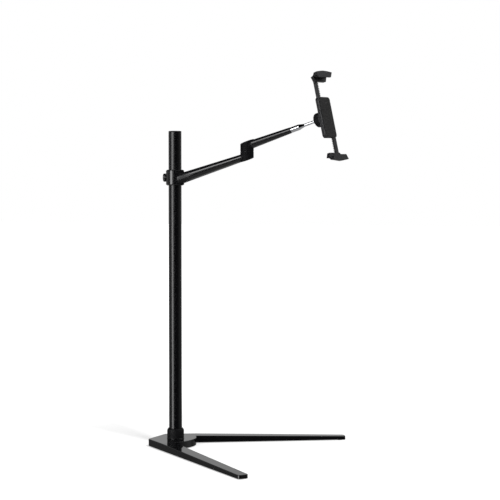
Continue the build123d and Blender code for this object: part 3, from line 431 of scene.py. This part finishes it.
def dress(node: bpy.types.Object, finish: Finish) -> None:
    """Give every material slot of a piece one finish.

    Args:
        node: the piece.
        finish: what it is finished in.
    """
    if not node.material_slots:
        node.data.materials.append(finish.material())
    for place in node.material_slots:
        place.material = finish.material()
    log.info("%s: %s", node.name, finish.name)


# Small pieces that Geometry Nodes make


@dataclass
class NodePiece:
    """A small piece whose mesh comes from a Geometry Nodes tree.

    Attributes:
        name: the piece's name.
        centre: its middle, in metres.
    """

    name: str
    centre: Vector

    def sizes(self) -> dict[str, Union[int, float]]:
        """Counts and sizes by the names of the tree's inputs."""
        return {}

    def turn(self) -> Matrix:
        """How the mesh is turned before it goes to its place."""
        return Matrix.Identity(4)

    def shape_nodes(self, group: bpy.types.NodeTree, given: Any) -> bpy.types.NodeSocket:
        """Add the nodes that make the piece's form.

        Args:
            group: the tree.
            given: the tree's inputs by name.

        Returns:
            The geometry.
        """
        raise NotImplementedError

    def tree(self, finish: Finish) -> bpy.types.NodeTree:
        """Build the Geometry Nodes tree.

        Args:
            finish: what the piece is made of.

        Returns:
            The node group, with named inputs for its sizes.
        """
        group = bpy.data.node_groups.new(self.name + "_nodes", "GeometryNodeTree")
        for label, value in self.sizes().items():
            kind = "NodeSocketInt" if isinstance(value, int) else "NodeSocketFloat"
            socket = group.interface.new_socket(name=label, in_out="INPUT", socket_type=kind)
            socket.default_value = value
        group.interface.new_socket(name="Geometry", in_out="OUTPUT", socket_type="NodeSocketGeometry")
        form = self.shape_nodes(group, add_node(group, "NodeGroupInput").outputs)
        real = add_node(group, "GeometryNodeRealizeInstances", None, {"Geometry": form})
        smooth = add_node(group, "GeometryNodeSetShadeSmooth", None, {"Geometry": real.outputs["Geometry"]})
        coated = add_node(group, "GeometryNodeSetMaterial", {"Material": finish.material()},
                          {"Geometry": smooth.outputs["Geometry"]})
        add_node(group, "NodeGroupOutput", None, {"Geometry": coated.outputs["Geometry"]})
        return group

    def build(self, body: str, slot: str, finish: Finish) -> bpy.types.Object:
        """Make the piece, bake it to a plain mesh and put it on its body.

        Args:
            body: the body that it moves with.
            slot: the record's material slot; not used.
            finish: what it is made of.

        Returns:
            The finished piece.
        """
        draft = bpy.data.objects.new(self.name + "_draft", bpy.data.meshes.new(self.name + "_draft"))
        bpy.context.scene.collection.objects.link(draft)
        maker = draft.modifiers.new("maker", "NODES")
        maker.node_group = self.tree(finish)
        for socket in maker.node_group.interface.items_tree:
            if socket.in_out == "INPUT":
                maker[socket.identifier] = socket.default_value
        graph = bpy.context.evaluated_depsgraph_get()
        mesh = bpy.data.meshes.new_from_object(draft.evaluated_get(graph))
        bpy.data.objects.remove(draft)
        mesh.transform(Matrix.Translation(self.centre) @ self.turn())
        piece = bpy.data.objects.new(self.name, mesh)
        bpy.context.scene.collection.objects.link(piece)
        dress(piece, finish)
        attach(piece, body)
        log.info("%s: %d faces on %s", self.name, len(mesh.polygons), body)
        return piece


class Nub(Enum):
    """Shapes of moulded relief."""

    DOME = "dome"
    RIB = "rib"


@dataclass
class RepeatedRelief(NodePiece):
    """A grid of small moulded domes or ribs on a flat face.

    Attributes:
        across: unit direction of the columns.
        along: unit direction of the rows.
        out: unit direction out of the face.
        count: how many across and along.
        pitch: spacing across and along, in metres.
        size: length, width and height of one nub, in metres; half its height is sunk in the face.
        shape: dome or rib.
        facets: faces round one nub.
        rings: faces from the top of a dome to the bottom of its sunk half.
    """

    across: Vector
    along: Vector
    out: Vector
    count: tuple[int, int]
    pitch: tuple[float, float]
    size: tuple[float, float, float]
    shape: Nub
    facets: int = 10
    rings: int = 6

    def sizes(self) -> dict[str, Union[int, float]]:
        """Counts and sizes by the names of the tree's inputs."""
        columns, rows = self.count
        return {"Columns": columns, "Rows": rows, "Field across": self.pitch[0] * (columns - 1),
                "Field along": self.pitch[1] * (rows - 1), "Nub length": self.size[0],
                "Nub width": self.size[1], "Nub height": self.size[2], "Facets": self.facets,
                "Rings": self.rings}

    def turn(self) -> Matrix:
        """How the mesh is turned before it goes to its place."""
        return Matrix((self.across, self.along, self.out)).transposed().to_4x4()

    def shape_nodes(self, group: bpy.types.NodeTree, given: Any) -> bpy.types.NodeSocket:
        """Spread the nubs over the field.

        Args:
            group: the tree.
            given: the tree's inputs by name.

        Returns:
            The geometry.
        """
        grid = add_node(group, "GeometryNodeMeshGrid", None, {
            "Size X": given["Field across"], "Size Y": given["Field along"],
            "Vertices X": given["Columns"], "Vertices Y": given["Rows"]})
        size = add_node(group, "ShaderNodeCombineXYZ", None, {
            "X": given["Nub length"], "Y": given["Nub width"], "Z": given["Nub height"]})
        if self.shape is Nub.DOME:
            unit = add_node(group, "GeometryNodeMeshUVSphere", {"Radius": 0.5},
                            {"Segments": given["Facets"], "Rings": given["Rings"]}).outputs["Mesh"]
        else:
            upright = add_node(group, "GeometryNodeMeshCylinder", {"Radius": 0.5, "Depth": 1.0},
                               {"Vertices": given["Facets"]})
            unit = add_node(group, "GeometryNodeTransform", {"Rotation": (0.0, math.radians(90), 0.0)},
                            {"Geometry": upright.outputs["Mesh"]}).outputs["Geometry"]
        nub = add_node(group, "GeometryNodeTransform", None,
                       {"Geometry": unit, "Scale": size.outputs["Vector"]})
        return add_node(group, "GeometryNodeInstanceOnPoints", None,
                        {"Points": grid.outputs["Mesh"],
                         "Instance": nub.outputs["Geometry"]}).outputs["Instances"]


@dataclass
class Bead(NodePiece):
    """A round bead that runs once about an upright axis.

    Attributes:
        radius: radius of its circle, in metres.
        thickness: diameter of the bead itself, in metres.
        steps: faces round the circle.
        facets: faces round the bead.
    """

    radius: float
    thickness: float
    steps: int = 96
    facets: int = 12

    def sizes(self) -> dict[str, Union[int, float]]:
        """Counts and sizes by the names of the tree's inputs."""
        return {"Circle radius": self.radius, "Bead radius": self.thickness / 2, "Steps": self.steps,
                "Facets": self.facets}

    def shape_nodes(self, group: bpy.types.NodeTree, given: Any) -> bpy.types.NodeSocket:
        """Run the bead's round section along the circle.

        Args:
            group: the tree.
            given: the tree's inputs by name.

        Returns:
            The geometry.
        """
        path = add_node(group, "GeometryNodeCurvePrimitiveCircle", None,
                        {"Resolution": given["Steps"], "Radius": given["Circle radius"]})
        section = add_node(group, "GeometryNodeCurvePrimitiveCircle", None,
                           {"Resolution": given["Facets"], "Radius": given["Bead radius"]})
        return add_node(group, "GeometryNodeCurveToMesh", None,
                        {"Curve": path.outputs["Curve"],
                         "Profile Curve": section.outputs["Curve"]}).outputs["Mesh"]


# The stand


@dataclass
class SubAssembly:
    """Pieces that are made and finished together.

    Attributes:
        finishes: node name to finish.
    """

    finishes: dict[str, Finish] = field(default_factory=dict)

    def build(self, nodes: dict[str, bpy.types.Object]) -> None:
        """Dress the sub-assembly's nodes and add its own pieces.

        Args:
            nodes: the frame's nodes by name.
        """
        for name, finish in self.finishes.items():
            dress(nodes[name], finish)
        self.add_detail(nodes)

    def add_detail(self, nodes: dict[str, bpy.types.Object]) -> None:
        """Add what the solids leave out; a plain sub-assembly has nothing.

        Args:
            nodes: the frame's nodes by name.
        """


@dataclass
class Foot(SubAssembly):
    """The V-shaped cast base with its rubber feet, bolt and washer."""

    finishes: dict[str, Finish] = field(default_factory=lambda: {
        "base": BASE_ENAMEL, "base_feet": RUBBER, "hub_foot": RUBBER, "base_bolt": ZINC,
        "base_washer": ZINC})


@dataclass
class Pole(SubAssembly):
    """The tube with its collar, plug and cap.

    Attributes:
        bead: thickness of the bead round the collar's foot.
    """

    finishes: dict[str, Finish] = field(default_factory=lambda: {
        "pole": POLE_COAT, "pole_cap": MATT_MOULDING, "foot_collar": MATT_MOULDING, "pole_insert": ZINC})
    bead: float = 2.0 * MM

    def add_detail(self, nodes: dict[str, bpy.types.Object]) -> None:
        """Add the polished bead round the collar's foot; a quarter of it stands out past the collar.

        Args:
            nodes: the frame's nodes by name.
        """
        low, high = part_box("foot_collar")
        centre = Vector(((low[0] + high[0]) / 2, (low[1] + high[1]) / 2, low[2] + self.bead / 2))
        Bead("foot_collar_bead", centre, (high[0] - low[0]) / 2 - self.bead / 4, self.bead).build(
            "stand", "moulding_black", KNOB_MOULDING)


@dataclass
class Arms(SubAssembly):
    """The clamp on the pole, both arms and the elbow between them.

    Attributes:
        flatted_share: reach of the flatted coat round the elbow, as a share of its disc's radius.
        flatted_fade: how far out the coat is glossy again, as a multiple of that reach.
        root_reach: the lower arm's root, level from the pole's axis.
        root_painted_shade_full: how far from the root the coat's reflection is fully dulled: painted shade
            where the pole and clamp ring shade the inside corner.
        root_painted_shade_fades: how far from the root that painted shade has faded and the coat is glossy
            again.
    """

    finishes: dict[str, Finish] = field(default_factory=lambda: {
        "clamp_liner": BLACK_ACETAL, "clamp_pad": ZINC,
        "clamp_screw": BLACK_OXIDE, "clamp_knob": KNOB_MOULDING, "elbow_bush": BLACK_ACETAL,
        "elbow_disc": BLACK_ACETAL, "elbow_bolt": BLACK_OXIDE, "elbow_spring_washer": ZINC})
    flatted_share: float = 1.14
    flatted_fade: float = 1.2
    root_reach: float = 27.0 * MM
    # painted shade round the lower arm's root, out to these reaches
    root_painted_shade_full: float = 8.0 * MM
    root_painted_shade_fades: float = 39.0 * MM

    def add_detail(self, nodes: dict[str, bpy.types.Object]) -> None:
        """Coat both arms, dull round the elbow's bosses, and dull the lower arm's root as painted shade.

        Args:
            nodes: the frame's nodes by name.
        """
        low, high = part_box("elbow_disc")
        middle = (Vector(low) + Vector(high)) / 2
        flatted = (high[0] - low[0]) / 2 * self.flatted_share
        azimuth, _ = Axis.LOWER_ARM.value
        root = bearing(azimuth, 0.0) * self.root_reach
        coat = replace(ARM_COAT, zones=(
            DullZone((middle.x, middle.y), flatted, flatted * self.flatted_fade),
            # painted shade: the second zone dulls the coat's reflection at the lower arm's root, where the
            # pole and clamp ring shade it
            DullZone((root.x, root.y), self.root_painted_shade_full, self.root_painted_shade_fades)))
        for name in ("lower_arm", "upper_arm"):
            dress(nodes[name], coat)


@dataclass
class Holder(SubAssembly):
    """The ball joint and the holder with its sliding jaws.

    Attributes:
        azimuth: the way the holder faces, in degrees.
        lean: how far it leans back, in degrees.
        roll: how far it is turned in its own plane, in degrees.
        dot_count: how many dots across and along the soft sheet.
        dot_pitch: spacing of the dots.
        dot_size: width of a dot.
        dot_height: height of a dot above the sheet.
        sheet_thickness: thickness of the soft sheet.
        lining_thickness: thickness of the hooks' linings.
        rib_count: how many of a lining's ribs stand end to end, and how many side by side.
        rib_pitch: spacing of the ribs, along a rib and from rib to rib.
        rib_size: length, width and height of one rib; half its height is sunk in the lining.
    """

    finishes: dict[str, Finish] = field(default_factory=lambda: {
        "ball_stud": CHROME, "ball_socket": BLACK_ACETAL, "lock_nut": MATT_MOULDING,
        "holder_back": HOLDER_NYLON, "swivel_plate": ZINC, "swivel_screws": ZINC,
        "jaw_pinion": BLACK_ACETAL, "pinion_pin": ZINC, "upper_jaw": HOLDER_NYLON,
        "lower_jaw": HOLDER_NYLON, "upper_jaw_pad": RUBBER, "lower_jaw_pad": RUBBER,
        "holder_front": HOLDER_NYLON, "cover_screws": BLACK_OXIDE, "holder_pad": RUBBER,
        "jaw_lock_pad": BLACK_ACETAL, "jaw_lock_screw": BLACK_OXIDE, "jaw_lock_knob": MATT_MOULDING})
    azimuth: float = -14.0
    lean: float = 12.8
    roll: float = 1.9
    dot_count: tuple[int, int] = (7, 16)
    dot_pitch: float = 6.0 * MM
    dot_size: float = 3.0 * MM
    dot_height: float = 0.35 * MM
    sheet_thickness: float = 1.5 * MM
    lining_thickness: float = 1.4 * MM
    rib_count: tuple[int, int] = (4, 5)
    rib_pitch: tuple[float, float] = (11.5 * MM, 2.2 * MM)
    rib_size: tuple[float, float, float] = (10.5 * MM, 1.0 * MM, 0.8 * MM)

    def directions(self) -> tuple[Vector, Vector, Vector]:
        """Find how the holder's face stands.

        Returns:
            Unit vectors across it, up along it and out of it.
        """
        out = bearing(self.azimuth, self.lean)
        level = Vector((0.0, 0.0, 1.0)).cross(out).normalized()
        rise = out.cross(level)
        turn = math.radians(self.roll)
        across = level * math.cos(turn) + rise * math.sin(turn)
        return across, out.cross(across), out

    def add_detail(self, nodes: dict[str, bpy.types.Object]) -> None:
        """Add dots to the soft sheet on the holder's face, and ribs to both hooks' linings.

        Args:
            nodes: the frame's nodes by name.
        """
        across, along, out = self.directions()
        low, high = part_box("holder_pad")
        middle = (low + high) / 2
        RepeatedRelief("holder_pad_dots", middle + out * self.sheet_thickness / 2, across, along, out,
                       self.dot_count, (self.dot_pitch, self.dot_pitch),
                       (self.dot_size, self.dot_size, self.dot_height * 2), Nub.DOME).build(
                           "holder", "rubber_black", RUBBER)
        for jaw, turn in (("upper_jaw", 1), ("lower_jaw", -1)):
            centre = self.lining_face(nodes[jaw + "_pad"], turn)
            RepeatedRelief(jaw + "_pad_ribs", centre, across, out * turn, along * -turn, self.rib_count,
                           self.rib_pitch, self.rib_size, Nub.RIB).build(jaw, "rubber_black", RUBBER)

    def lining_face(self, lining: bpy.types.Object, turn: int) -> Vector:
        """Find the middle of the lining's face that takes the held edge.

        Args:
            lining: the lining's piece, in a hook.
            turn: one for the upper hook, minus one for the lower.

        Returns:
            The point, in metres.
        """
        across, along, out = self.directions()
        corners = [lining.matrix_world @ corner.co for corner in lining.data.vertices]
        sideways = [corner.dot(across) for corner in corners]
        height = max(corner.dot(along) * turn for corner in corners) - self.lining_thickness
        depths = [corner.dot(out) for corner in corners]
        depth = (min(depths) + max(depths) - self.lining_thickness) / 2
        return across * (min(sideways) + max(sideways)) / 2 + along * turn * height + out * depth


# Studio


@dataclass
class Softbox:
    """A soft lamp that faces the stand; reflections see the studio's panels instead of it.

    Attributes:
        name: the lamp's name.
        left: degrees to the viewer's left of the camera, seen from the pole.
        distance: metres from the pole, level.
        height: metres above the floor.
        width: metres.
        tall: metres.
        watts: its power.
        aim: height on the pole that it faces.
    """

    name: str
    left: float
    distance: float
    height: float
    width: float
    tall: float
    watts: float
    aim: float

    def build(self, view_azimuth: float) -> None:
        """Make the lamp.

        Args:
            view_azimuth: azimuth of the camera about the pole, in degrees.
        """
        lamp = bpy.data.lights.new(self.name, "AREA")
        lamp.shape = "RECTANGLE"
        lamp.size = self.width
        lamp.size_y = self.tall
        lamp.energy = self.watts
        holder = bpy.data.objects.new(self.name, lamp)
        bpy.context.scene.collection.objects.link(holder)
        holder.visible_glossy = False
        level = bearing(view_azimuth - self.left, 0.0) * self.distance
        holder.location = level + Vector((0, 0, self.height))
        facing = Vector((0, 0, self.aim)) - holder.location
        holder.rotation_euler = facing.to_track_quat("-Z", "Y").to_euler()


@dataclass
class Panel:
    """A lit panel that only reflections see, set by bearing round the stand.

    Attributes:
        left: degrees to the viewer's left of the camera.
        half_width: degrees either side.
        soft: degrees either way over which its sides fade.
        lowest: sine of the rise of its lower edge.
        highest: sine of the rise of its upper edge.
        strength: its brightness; white is one.
        RISE_SOFT: how far either way its two edges fade, in the same sine.
    """

    RISE_SOFT: ClassVar[float] = 0.04

    left: float
    half_width: float
    soft: float
    lowest: float
    highest: float
    strength: float

    def window(self, tree: bpy.types.NodeTree, level: bpy.types.NodeSocket, rise: bpy.types.NodeSocket,
               view_azimuth: float) -> bpy.types.NodeSocket:
        """Find where the panel shows.

        Args:
            tree: the world's tree.
            level: the unit direction on the level.
            rise: the direction's upward part.
            view_azimuth: azimuth of the camera about the pole, in degrees.

        Returns:
            One inside the panel and zero outside.
        """
        towards = tuple(bearing(view_azimuth - self.left, 0.0))
        near = add_node(tree, "ShaderNodeVectorMath", {"operation": "DOT_PRODUCT", 1: towards}, {0: level})
        edge = [math.cos(math.radians(self.half_width + side * self.soft)) for side in (1, -1)]
        across = add_node(tree, "ShaderNodeMapRange",
                          {"interpolation_type": "SMOOTHSTEP", "From Min": edge[0], "From Max": edge[1]},
                          {"Value": near.outputs["Value"]})
        above = add_node(tree, "ShaderNodeMapRange",
                         {"interpolation_type": "SMOOTHSTEP", "From Min": self.lowest - self.RISE_SOFT,
                          "From Max": self.lowest + self.RISE_SOFT}, {"Value": rise})
        below = add_node(tree, "ShaderNodeMapRange",
                         {"interpolation_type": "SMOOTHSTEP", "From Min": self.highest + self.RISE_SOFT,
                          "From Max": self.highest - self.RISE_SOFT}, {"Value": rise})
        tall = add_node(tree, "ShaderNodeMath", {"operation": "MULTIPLY"},
                        {0: above.outputs["Result"], 1: below.outputs["Result"]})
        return add_node(tree, "ShaderNodeMath", {"operation": "MULTIPLY"},
                        {0: across.outputs["Result"], 1: tall.outputs["Value"]}).outputs["Value"]


@dataclass
class Studio:
    """Floor, backdrop, lamps and camera.

    Attributes:
        camera_place: the camera, in metres.
        camera_azimuth: the way it looks, in degrees.
        camera_drop: degrees below level.
        lens: focal length in millimetres.
        sensor: width of the sensor in millimetres.
        camera_reach: how far the camera sees, in metres.
        view_azimuth: azimuth of the camera about the pole.
        lamps: the soft lamps.
        panels: the lit panels that reflections see: the tall one, the wide one over it and a dim
            one high on the right, for the hooks.
        walls: brightness of the walls in reflections, from in front of the stand (-1) past its
            sides (0) to behind it (1).
        rear_shade: what is left of the wall's brightness low down behind the stand.
        rear: how far behind the stand that shade starts and is full, on the walls' scale.
        rear_top: sines of the rise at which that shade starts and is full.
        ceiling: sines of the rise at which the walls start to end and are gone.
        ceiling_tone: what is left of their brightness above that.
        underside: brightness of the floor in reflections that look steeply down.
        floor_line: sines of the rise at which that floor starts and is full.
        room: brightness of the white room that lights matt surfaces.
        floor_reach: half the floor's width, in metres.
        paper: sRGB hex of the floor as it lights the stand from below.
        floor_glow: the floor's own brightness to the camera near the stand.
        far_glow: the same, far from the stand.
        glow_ramp: metres from the pole between which it goes from one to the other.
        floor_tone: sRGB hex of the part of the floor that takes the shadow.
    """

    camera_place: tuple[float, float, float] = (1.8947, -3.1557, 0.68487)
    camera_azimuth: float = 117.74
    camera_drop: float = 2.14
    lens: float = 95.18
    sensor: float = 36.0
    camera_reach: float = 50.0
    view_azimuth: float = -59.02
    lamps: tuple[Softbox, ...] = (
        Softbox("key_softbox", 45.0, 3.0, 1.6, 1.2, 3.0, 60.0, aim=1.0),
        Softbox("front_softbox", -32.0, 3.4, 4.4, 1.0, 1.0, 260.0, aim=0.3),
    )
    panels: tuple[Panel, ...] = (
        Panel(50.0, 13.5, 2.0, -0.36, 0.45, 7.2),
        Panel(42.0, 22.0, 2.5, 0.07, 0.45, 6.8),
        Panel(-90.0, 30.0, 6.0, 0.40, 0.95, 1.4),
    )
    walls: tuple[tuple[float, float], ...] = ((-0.72, 0.0), (-0.42, 0.20), (-0.05, 0.33), (1.0, 0.6))
    rear_shade: float = 0.28
    rear: tuple[float, float] = (0.1, 0.5)
    rear_top: tuple[float, float] = (-0.02, -0.12)
    ceiling: tuple[float, float] = (0.23, 0.45)
    ceiling_tone: float = 0.03
    underside: float = 0.42
    floor_line: tuple[float, float] = (-0.28, -0.45)
    room: float = 0.45
    floor_reach: float = 30.0
    paper: str = "d8d8d8"
    floor_glow: float = 0.45
    far_glow: float = 1.05
    glow_ramp: tuple[float, float] = (0.3, 1.15)
    floor_tone: str = "bdbdbd"

    def build(self) -> None:
        """Make the whole studio."""
        self.build_floor()
        self.build_world()
        self.build_camera()
        for lamp in self.lamps:
            lamp.build(self.view_azimuth)
        bpy.context.scene.view_settings.view_transform = "Standard"

    def build_floor(self) -> None:
        """Lay a white floor that keeps the stand's shadow and lets reflections see the studio."""
        mesh = bpy.data.meshes.new("studio_floor")
        reach = self.floor_reach
        corners = [(-reach, -reach, 0), (reach, -reach, 0), (reach, reach, 0), (-reach, reach, 0)]
        mesh.from_pydata(corners, [], [(0, 1, 2, 3)])
        floor = bpy.data.objects.new("studio_floor", mesh)
        bpy.context.scene.collection.objects.link(floor)
        paper = bpy.data.materials.new("white_studio_paper")
        paper.use_nodes = True
        tree = paper.node_tree
        tree.nodes.clear()
        rays = add_node(tree, "ShaderNodeLightPath").outputs
        seen = add_node(tree, "ShaderNodeMath", {"operation": "MAXIMUM"},
                        {0: rays["Is Camera Ray"], 1: rays["Is Transmission Ray"]})
        matt = add_node(tree, "ShaderNodeBsdfDiffuse", {"Color": linear(self.paper)})
        place = add_node(tree, "ShaderNodeTexCoord").outputs["Object"]
        far = add_node(tree, "ShaderNodeVectorMath", {"operation": "LENGTH"}, {0: place})
        glow = add_node(tree, "ShaderNodeMapRange",
                        {"interpolation_type": "SMOOTHSTEP", "From Min": self.glow_ramp[0],
                         "From Max": self.glow_ramp[1], "To Min": self.floor_glow,
                         "To Max": self.far_glow}, {"Value": far.outputs["Value"]})
        lamp = add_node(tree, "ShaderNodeEmission", {"Color": (1, 1, 1, 1)},
                        {"Strength": glow.outputs["Result"]})
        shade = add_node(tree, "ShaderNodeBsdfDiffuse", {"Color": linear(self.floor_tone)})
        lit = add_node(tree, "ShaderNodeAddShader", None,
                       {0: lamp.outputs["Emission"], 1: shade.outputs["BSDF"]})
        shown = add_node(tree, "ShaderNodeMixShader", None,
                         {0: seen.outputs["Value"], 1: matt.outputs["BSDF"], 2: lit.outputs["Shader"]})
        open_way = add_node(tree, "ShaderNodeBsdfTransparent")
        surface = add_node(tree, "ShaderNodeMixShader", None,
                           {0: rays["Is Glossy Ray"], 1: shown.outputs["Shader"],
                            2: open_way.outputs["BSDF"]})
        add_node(tree, "ShaderNodeOutputMaterial", None, {"Surface": surface.outputs["Shader"]})
        floor.data.materials.append(paper)

    def build_world(self) -> None:
        """Show white to the camera, an even room to matt surfaces, walls and panels to reflections."""
        world = bpy.data.worlds.new("studio_world")
        bpy.context.scene.world = world
        world.cycles.sampling_method = "NONE"
        world.use_nodes = True
        tree = world.node_tree
        tree.nodes.clear()
        rays = add_node(tree, "ShaderNodeLightPath").outputs
        way = add_node(tree, "ShaderNodeTexCoord").outputs["Generated"]
        rise = add_node(tree, "ShaderNodeSeparateXYZ", None, {"Vector": way}).outputs["Z"]
        flat = add_node(tree, "ShaderNodeVectorMath", {"operation": "MULTIPLY", 1: (1.0, 1.0, 0.0)},
                        {0: way})
        level = add_node(tree, "ShaderNodeVectorMath", {"operation": "NORMALIZE"},
                         {0: flat.outputs["Vector"]}).outputs["Vector"]
        mirrored = self.reflected(tree, level, rise)
        strength = add_node(tree, "ShaderNodeMix", {2: self.room}, {0: rays["Is Glossy Ray"], 3: mirrored})
        seen = add_node(tree, "ShaderNodeMath", {"operation": "MAXIMUM"},
                        {0: rays["Is Camera Ray"], 1: rays["Is Transmission Ray"]})
        final = add_node(tree, "ShaderNodeMix", {3: 1.0},
                         {0: seen.outputs["Value"], 2: strength.outputs[0]})
        light = add_node(tree, "ShaderNodeBackground", {"Color": (1, 1, 1, 1)},
                         {"Strength": final.outputs[0]})
        add_node(tree, "ShaderNodeOutputWorld", None, {"Surface": light.outputs["Background"]})

    def reflected(self, tree: bpy.types.NodeTree, level: bpy.types.NodeSocket,
                  rise: bpy.types.NodeSocket) -> bpy.types.NodeSocket:
        """Draw what reflections see: dark in front and overhead, pale behind, floor and panels.

        Args:
            tree: the world's tree.
            level: the unit direction on the level.
            rise: the direction's upward part.

        Returns:
            The brightness.
        """
        behind = tuple(bearing(self.view_azimuth + 180.0, 0.0))
        depth = add_node(tree, "ShaderNodeVectorMath", {"operation": "DOT_PRODUCT", 1: behind}, {0: level})
        wall = depth.outputs["Value"]
        total = None
        for (start, low), (stop, high) in zip(self.walls, self.walls[1:]):
            step = add_node(tree, "ShaderNodeMapRange",
                            {"From Min": start, "From Max": stop, "To Min": 0.0, "To Max": high - low},
                            {"Value": wall}).outputs["Result"]
            total = step if total is None else add_node(tree, "ShaderNodeMath", {"operation": "ADD"},
                                                        {0: total, 1: step}).outputs["Value"]
        rear = add_node(tree, "ShaderNodeMapRange",
                        {"interpolation_type": "SMOOTHSTEP", "From Min": self.rear[0],
                         "From Max": self.rear[1]}, {"Value": wall})
        low_down = add_node(tree, "ShaderNodeMapRange",
                            {"interpolation_type": "SMOOTHSTEP", "From Min": self.rear_top[0],
                             "From Max": self.rear_top[1]}, {"Value": rise})
        hidden = add_node(tree, "ShaderNodeMath", {"operation": "MULTIPLY"},
                          {0: rear.outputs["Result"], 1: low_down.outputs["Result"]})
        shaded = add_node(tree, "ShaderNodeMapRange", {"To Min": 1.0, "To Max": self.rear_shade},
                          {"Value": hidden.outputs["Value"]})
        total = add_node(tree, "ShaderNodeMath", {"operation": "MULTIPLY"},
                         {0: total, 1: shaded.outputs["Result"]}).outputs["Value"]
        under_ceiling = add_node(tree, "ShaderNodeMapRange",
                                 {"interpolation_type": "SMOOTHSTEP", "From Min": self.ceiling[0],
                                  "From Max": self.ceiling[1], "To Min": 1.0,
                                  "To Max": self.ceiling_tone}, {"Value": rise})
        room = add_node(tree, "ShaderNodeMath", {"operation": "MULTIPLY"},
                        {0: total, 1: under_ceiling.outputs["Result"]})
        below = add_node(tree, "ShaderNodeMapRange",
                         {"interpolation_type": "SMOOTHSTEP", "From Min": self.floor_line[0],
                          "From Max": self.floor_line[1]}, {"Value": rise})
        grounded = add_node(tree, "ShaderNodeMix", {3: self.underside},
                            {0: below.outputs["Result"], 2: room.outputs["Value"]})
        seen = grounded.outputs[0]
        for panel in self.panels:
            window = panel.window(tree, level, rise, self.view_azimuth)
            seen = add_node(tree, "ShaderNodeMix", {3: panel.strength}, {0: window, 2: seen}).outputs[0]
        return seen

    def build_camera(self) -> None:
        """Set the photograph's view."""
        camera = bpy.data.cameras.new("camera")
        camera.lens = self.lens
        camera.sensor_width = self.sensor
        camera.clip_end = self.camera_reach
        holder = bpy.data.objects.new("camera", camera)
        bpy.context.scene.collection.objects.link(holder)
        holder.location = self.camera_place
        look = bearing(self.camera_azimuth, -self.camera_drop)
        holder.rotation_euler = look.to_track_quat("-Z", "Y").to_euler()
        bpy.context.scene.camera = holder


def main() -> None:
    """Load the frame, dress it, and set up the studio."""
    logging.basicConfig(level=logging.INFO, format="%(name)s: %(message)s")
    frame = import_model()
    for part in (Foot(), Pole(), Arms(), Holder()):
        part.build(frame["nodes"])
    Studio().build()


if __name__ == "__main__":
    main()
